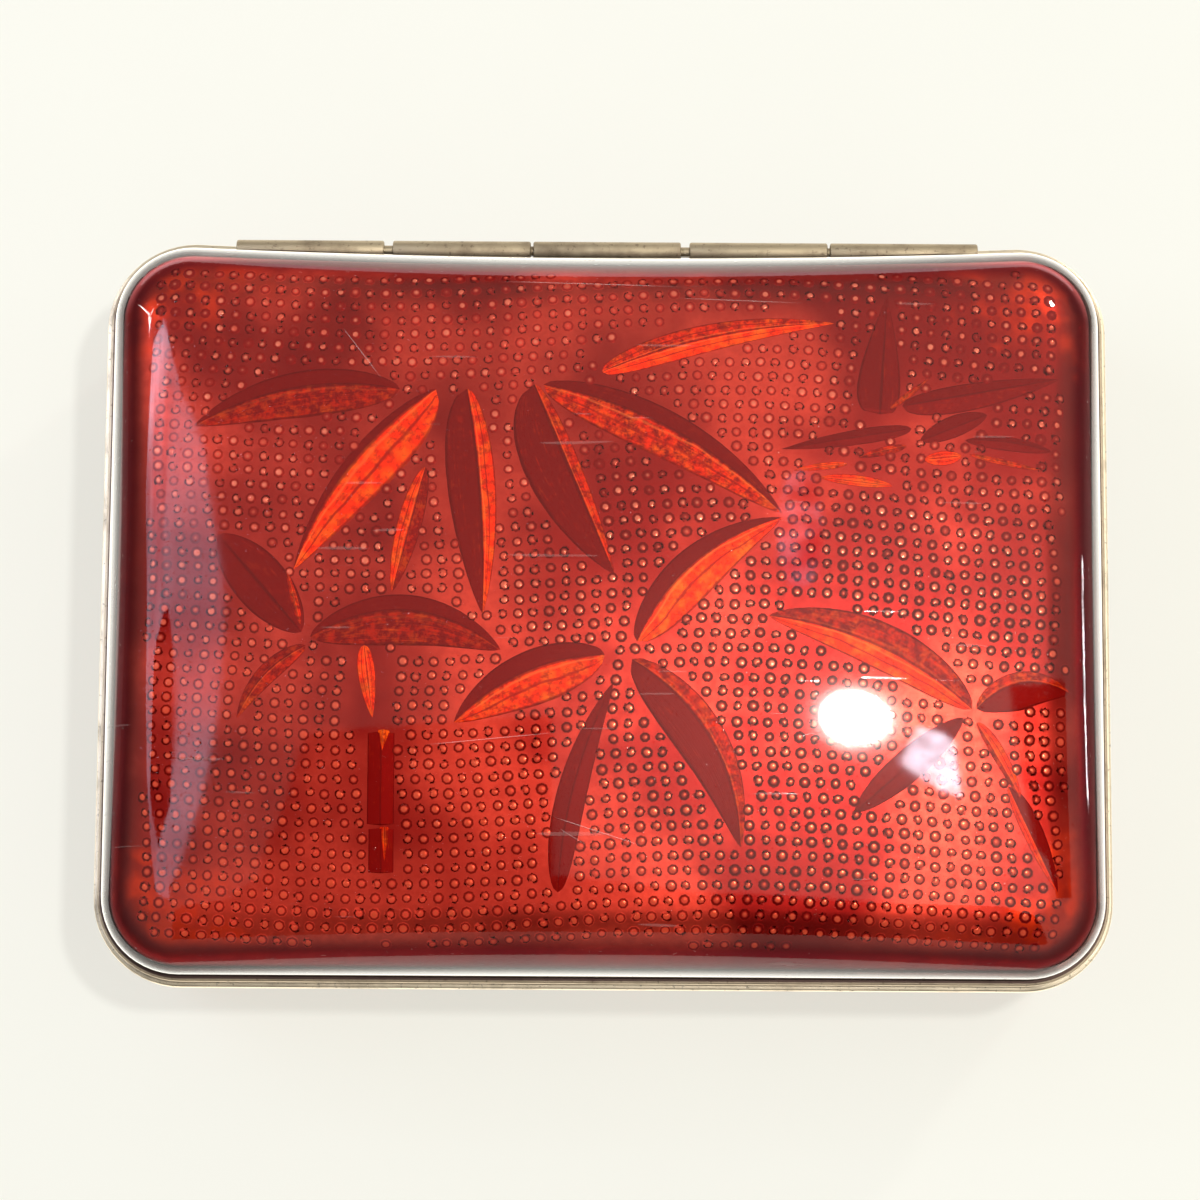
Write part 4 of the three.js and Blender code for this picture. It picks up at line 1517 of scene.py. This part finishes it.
def glow_finish(name, tint, low, high, grain, bright=None):
    """A surface that shines unevenly, from low to high; bright gives an axis, a range and the gain over it."""
    finish = Finish(name)
    strength = finish.ranged(finish.noise(grain, detail=2), 0.35, 0.65, low, high)
    if bright:
        axis, start, stop, gain = bright
        strength = finish.product(strength, finish.ranged(finish.axes(finish.place)[axis], start, stop, 1, gain))
    return finish.done(finish.shader("Emission", {"Color": tint, "Strength": strength}))


def card(name, corners, material, height=None, lights=False):
    """A flat card about the box that the camera doesn't see: the polish mirrors it.

    Given a height, the corners are those of an outline that lies level at that height.
    """
    bm = bmesh.new()
    loop = bmesh.ops.create_circle(bm, cap_ends=True, segments=len(corners), radius=1)["verts"]
    for vert, place in zip(loop, corners):
        vert.co = place if height is None else (*place, height)
    sheet = placed(bm, name)
    sheet.data.materials.append(material)
    sheet.visible_camera = False
    sheet.visible_shadow = False
    sheet.visible_diffuse = lights


def hang_cards(studio):
    """The window at the left, the dark things overhead and the small lights that the polish mirrors."""
    strength = studio.window_strength
    window = glow_finish(
        "window_light", (0.74, 0.80, 1.0), low=0.7 * strength, high=1.3 * strength, grain=9,
        bright=("Y", 0.235, 0.275, 2.4),
    )
    card("window", WINDOW, window, OVERHEAD, lights=True)
    cloth = cloth_finish()
    card("window_post", WINDOW_POST, cloth, POST_HEIGHT)
    card("dark_card", DARK_CARD, cloth, DARK_HEIGHT)
    card("side_card", SIDE_CARD, cloth, DARK_HEIGHT)
    card("back_glow", BACK_GLOW, glow_finish("back_wall", (1.0, 0.86, 0.90), low=1.3, high=1.9, grain=3))
    shade = glow_finish("shade_light", (0.84, 0.86, 1.0), low=14, high=30, grain=90)
    card("lamp_shade", LAMP_SHADE, shade, OVERHEAD)
    seam = glow_finish("seam_light", (0.80, 0.78, 1.0), low=0.3, high=3.2, grain=60)
    turns = [step / SEAM_SIDES * math.tau for step in range(SEAM_SIDES)]
    card("ceiling_seam", [
        (SEAM_CENTRE[0] + SEAM_RADII[0] * math.cos(turn), SEAM_CENTRE[1] + SEAM_RADII[1] * math.sin(turn))
        for turn in turns
    ], seam, OVERHEAD)
    spark = glow_finish("spark_light", (1.0, 0.98, 0.92), low=20, high=40, grain=8)
    card("spark_left", SPARK_LEFT, spark)
    card("spark_right", SPARK_RIGHT, spark)
    pane = glow_finish("pane_light", (1.0, 0.98, 0.97), low=0, high=34, grain=22)
    card("side_pane", SIDE_PANE, pane, lights=True)


def hang_lamp(name, place, size, watts, tint):
    """A round lamp that shines on the box and that the camera doesn't see."""
    data = bpy.data.lights.new(name, "AREA")
    data.shape = "DISK"
    data.size = size
    data.energy = watts
    data.color = tint
    lamp = bpy.data.objects.new(name, data)
    bpy.context.scene.collection.objects.link(lamp)
    lamp.location = place
    lamp.rotation_mode = "QUATERNION"
    lamp.rotation_quaternion = facing(place, (0, 0, RIM_HIGH.z), (0, 1, 0)).to_quaternion()
    lamp.visible_camera = False


def set_camera(scene, studio):
    """The camera at the photograph's angle, a little turned about its own line of sight."""
    data = bpy.data.cameras.new("camera")
    data.sensor_width = SENSOR_WIDTH
    data.lens = data.sensor_width * studio.camera_distance / studio.view_width
    data.clip_start = CLIP_START
    data.clip_end = CLIP_END
    camera = bpy.data.objects.new("camera", data)
    scene.collection.objects.link(camera)
    back = Vector((0, -math.cos(studio.camera_elevation), math.sin(studio.camera_elevation)))
    camera.location = AIM + back * studio.camera_distance
    camera.rotation_mode = "QUATERNION"
    turn = facing(AIM + back, AIM, (0, 0, 1)).to_4x4()
    camera.rotation_quaternion = (turn @ Matrix.Rotation(studio.camera_roll, 4, "Z")).to_quaternion()
    scene.camera = camera


class KEEPSAKE_OT_studio(bpy.types.Operator):
    """Lays the ground, lights the box and sets up the camera"""

    bl_idname = "keepsake.studio"
    bl_label = "Studio"

    def execute(self, context):
        scene, studio = context.scene, context.scene.keepsake_studio
        scene.view_settings.view_transform = "Standard"
        lay_ground(studio)
        light_room(scene, studio)
        hang_cards(studio)
        hang_lamp("ceiling_lamp", CEILING_LAMP, CEILING_LAMP_SIZE, studio.lamp_strength, (1.0, 0.97, 0.92))
        hang_lamp("corner_lamp", CORNER_LAMP, CORNER_LAMP_SIZE, CORNER_LAMP_WATTS, (1.0, 0.95, 0.86))
        set_camera(scene, studio)
        return {"FINISHED"}


OPERATORS = (
    KEEPSAKE_OT_lid_enamel,
    KEEPSAKE_OT_lid_foil,
    KEEPSAKE_OT_relief,
    KEEPSAKE_OT_lid_stipple,
    KEEPSAKE_OT_body_enamel,
    KEEPSAKE_OT_body_foil,
    KEEPSAKE_OT_body_stipple,
    KEEPSAKE_OT_rims,
    KEEPSAKE_OT_barrel,
    KEEPSAKE_OT_linings,
    KEEPSAKE_OT_base,
    KEEPSAKE_OT_copper,
    KEEPSAKE_OT_studio,
)
GROUPS = {
    "keepsake_box": BoxSizes,
    "keepsake_stipple": StippleSizes,
    "keepsake_finishes": Finishes,
    "keepsake_studio": StudioSettings,
}


class KEEPSAKE_PT_panel(bpy.types.Panel):
    """Lists the pieces of the box, and its sizes and colours"""

    bl_idname = "KEEPSAKE_PT_panel"
    bl_label = "Keepsake Box"
    bl_space_type = "VIEW_3D"
    bl_region_type = "UI"
    bl_category = "Keepsake Box"

    def draw(self, context):
        for operator in OPERATORS:
            self.layout.operator(operator.bl_idname, text=operator.bl_label)
        for group in (getattr(context.scene, name) for name in GROUPS):
            column = self.layout.column(align=True)
            for name in group.bl_rna.properties.keys():
                if name not in ("rna_type", "name"):
                    column.prop(group, name)


def register():
    """Tells Blender of the settings, the operators and the panel."""
    for name, group in GROUPS.items():
        bpy.utils.register_class(group)
        setattr(bpy.types.Scene, name, PointerProperty(type=group))
    for operator in OPERATORS:
        bpy.utils.register_class(operator)
    bpy.utils.register_class(KEEPSAKE_PT_panel)


def unregister():
    """Takes back what register did."""
    bpy.utils.unregister_class(KEEPSAKE_PT_panel)
    for operator in reversed(OPERATORS):
        bpy.utils.unregister_class(operator)
    for name, group in reversed(GROUPS.items()):
        delattr(bpy.types.Scene, name)
        bpy.utils.unregister_class(group)


def main():
    """Makes the box and its studio."""
    register()
    for operator in OPERATORS:
        family, name = operator.bl_idname.split(".")
        getattr(getattr(bpy.ops, family), name)()
    bpy.context.view_layer.update()


if __name__ == "__main__":
    main()
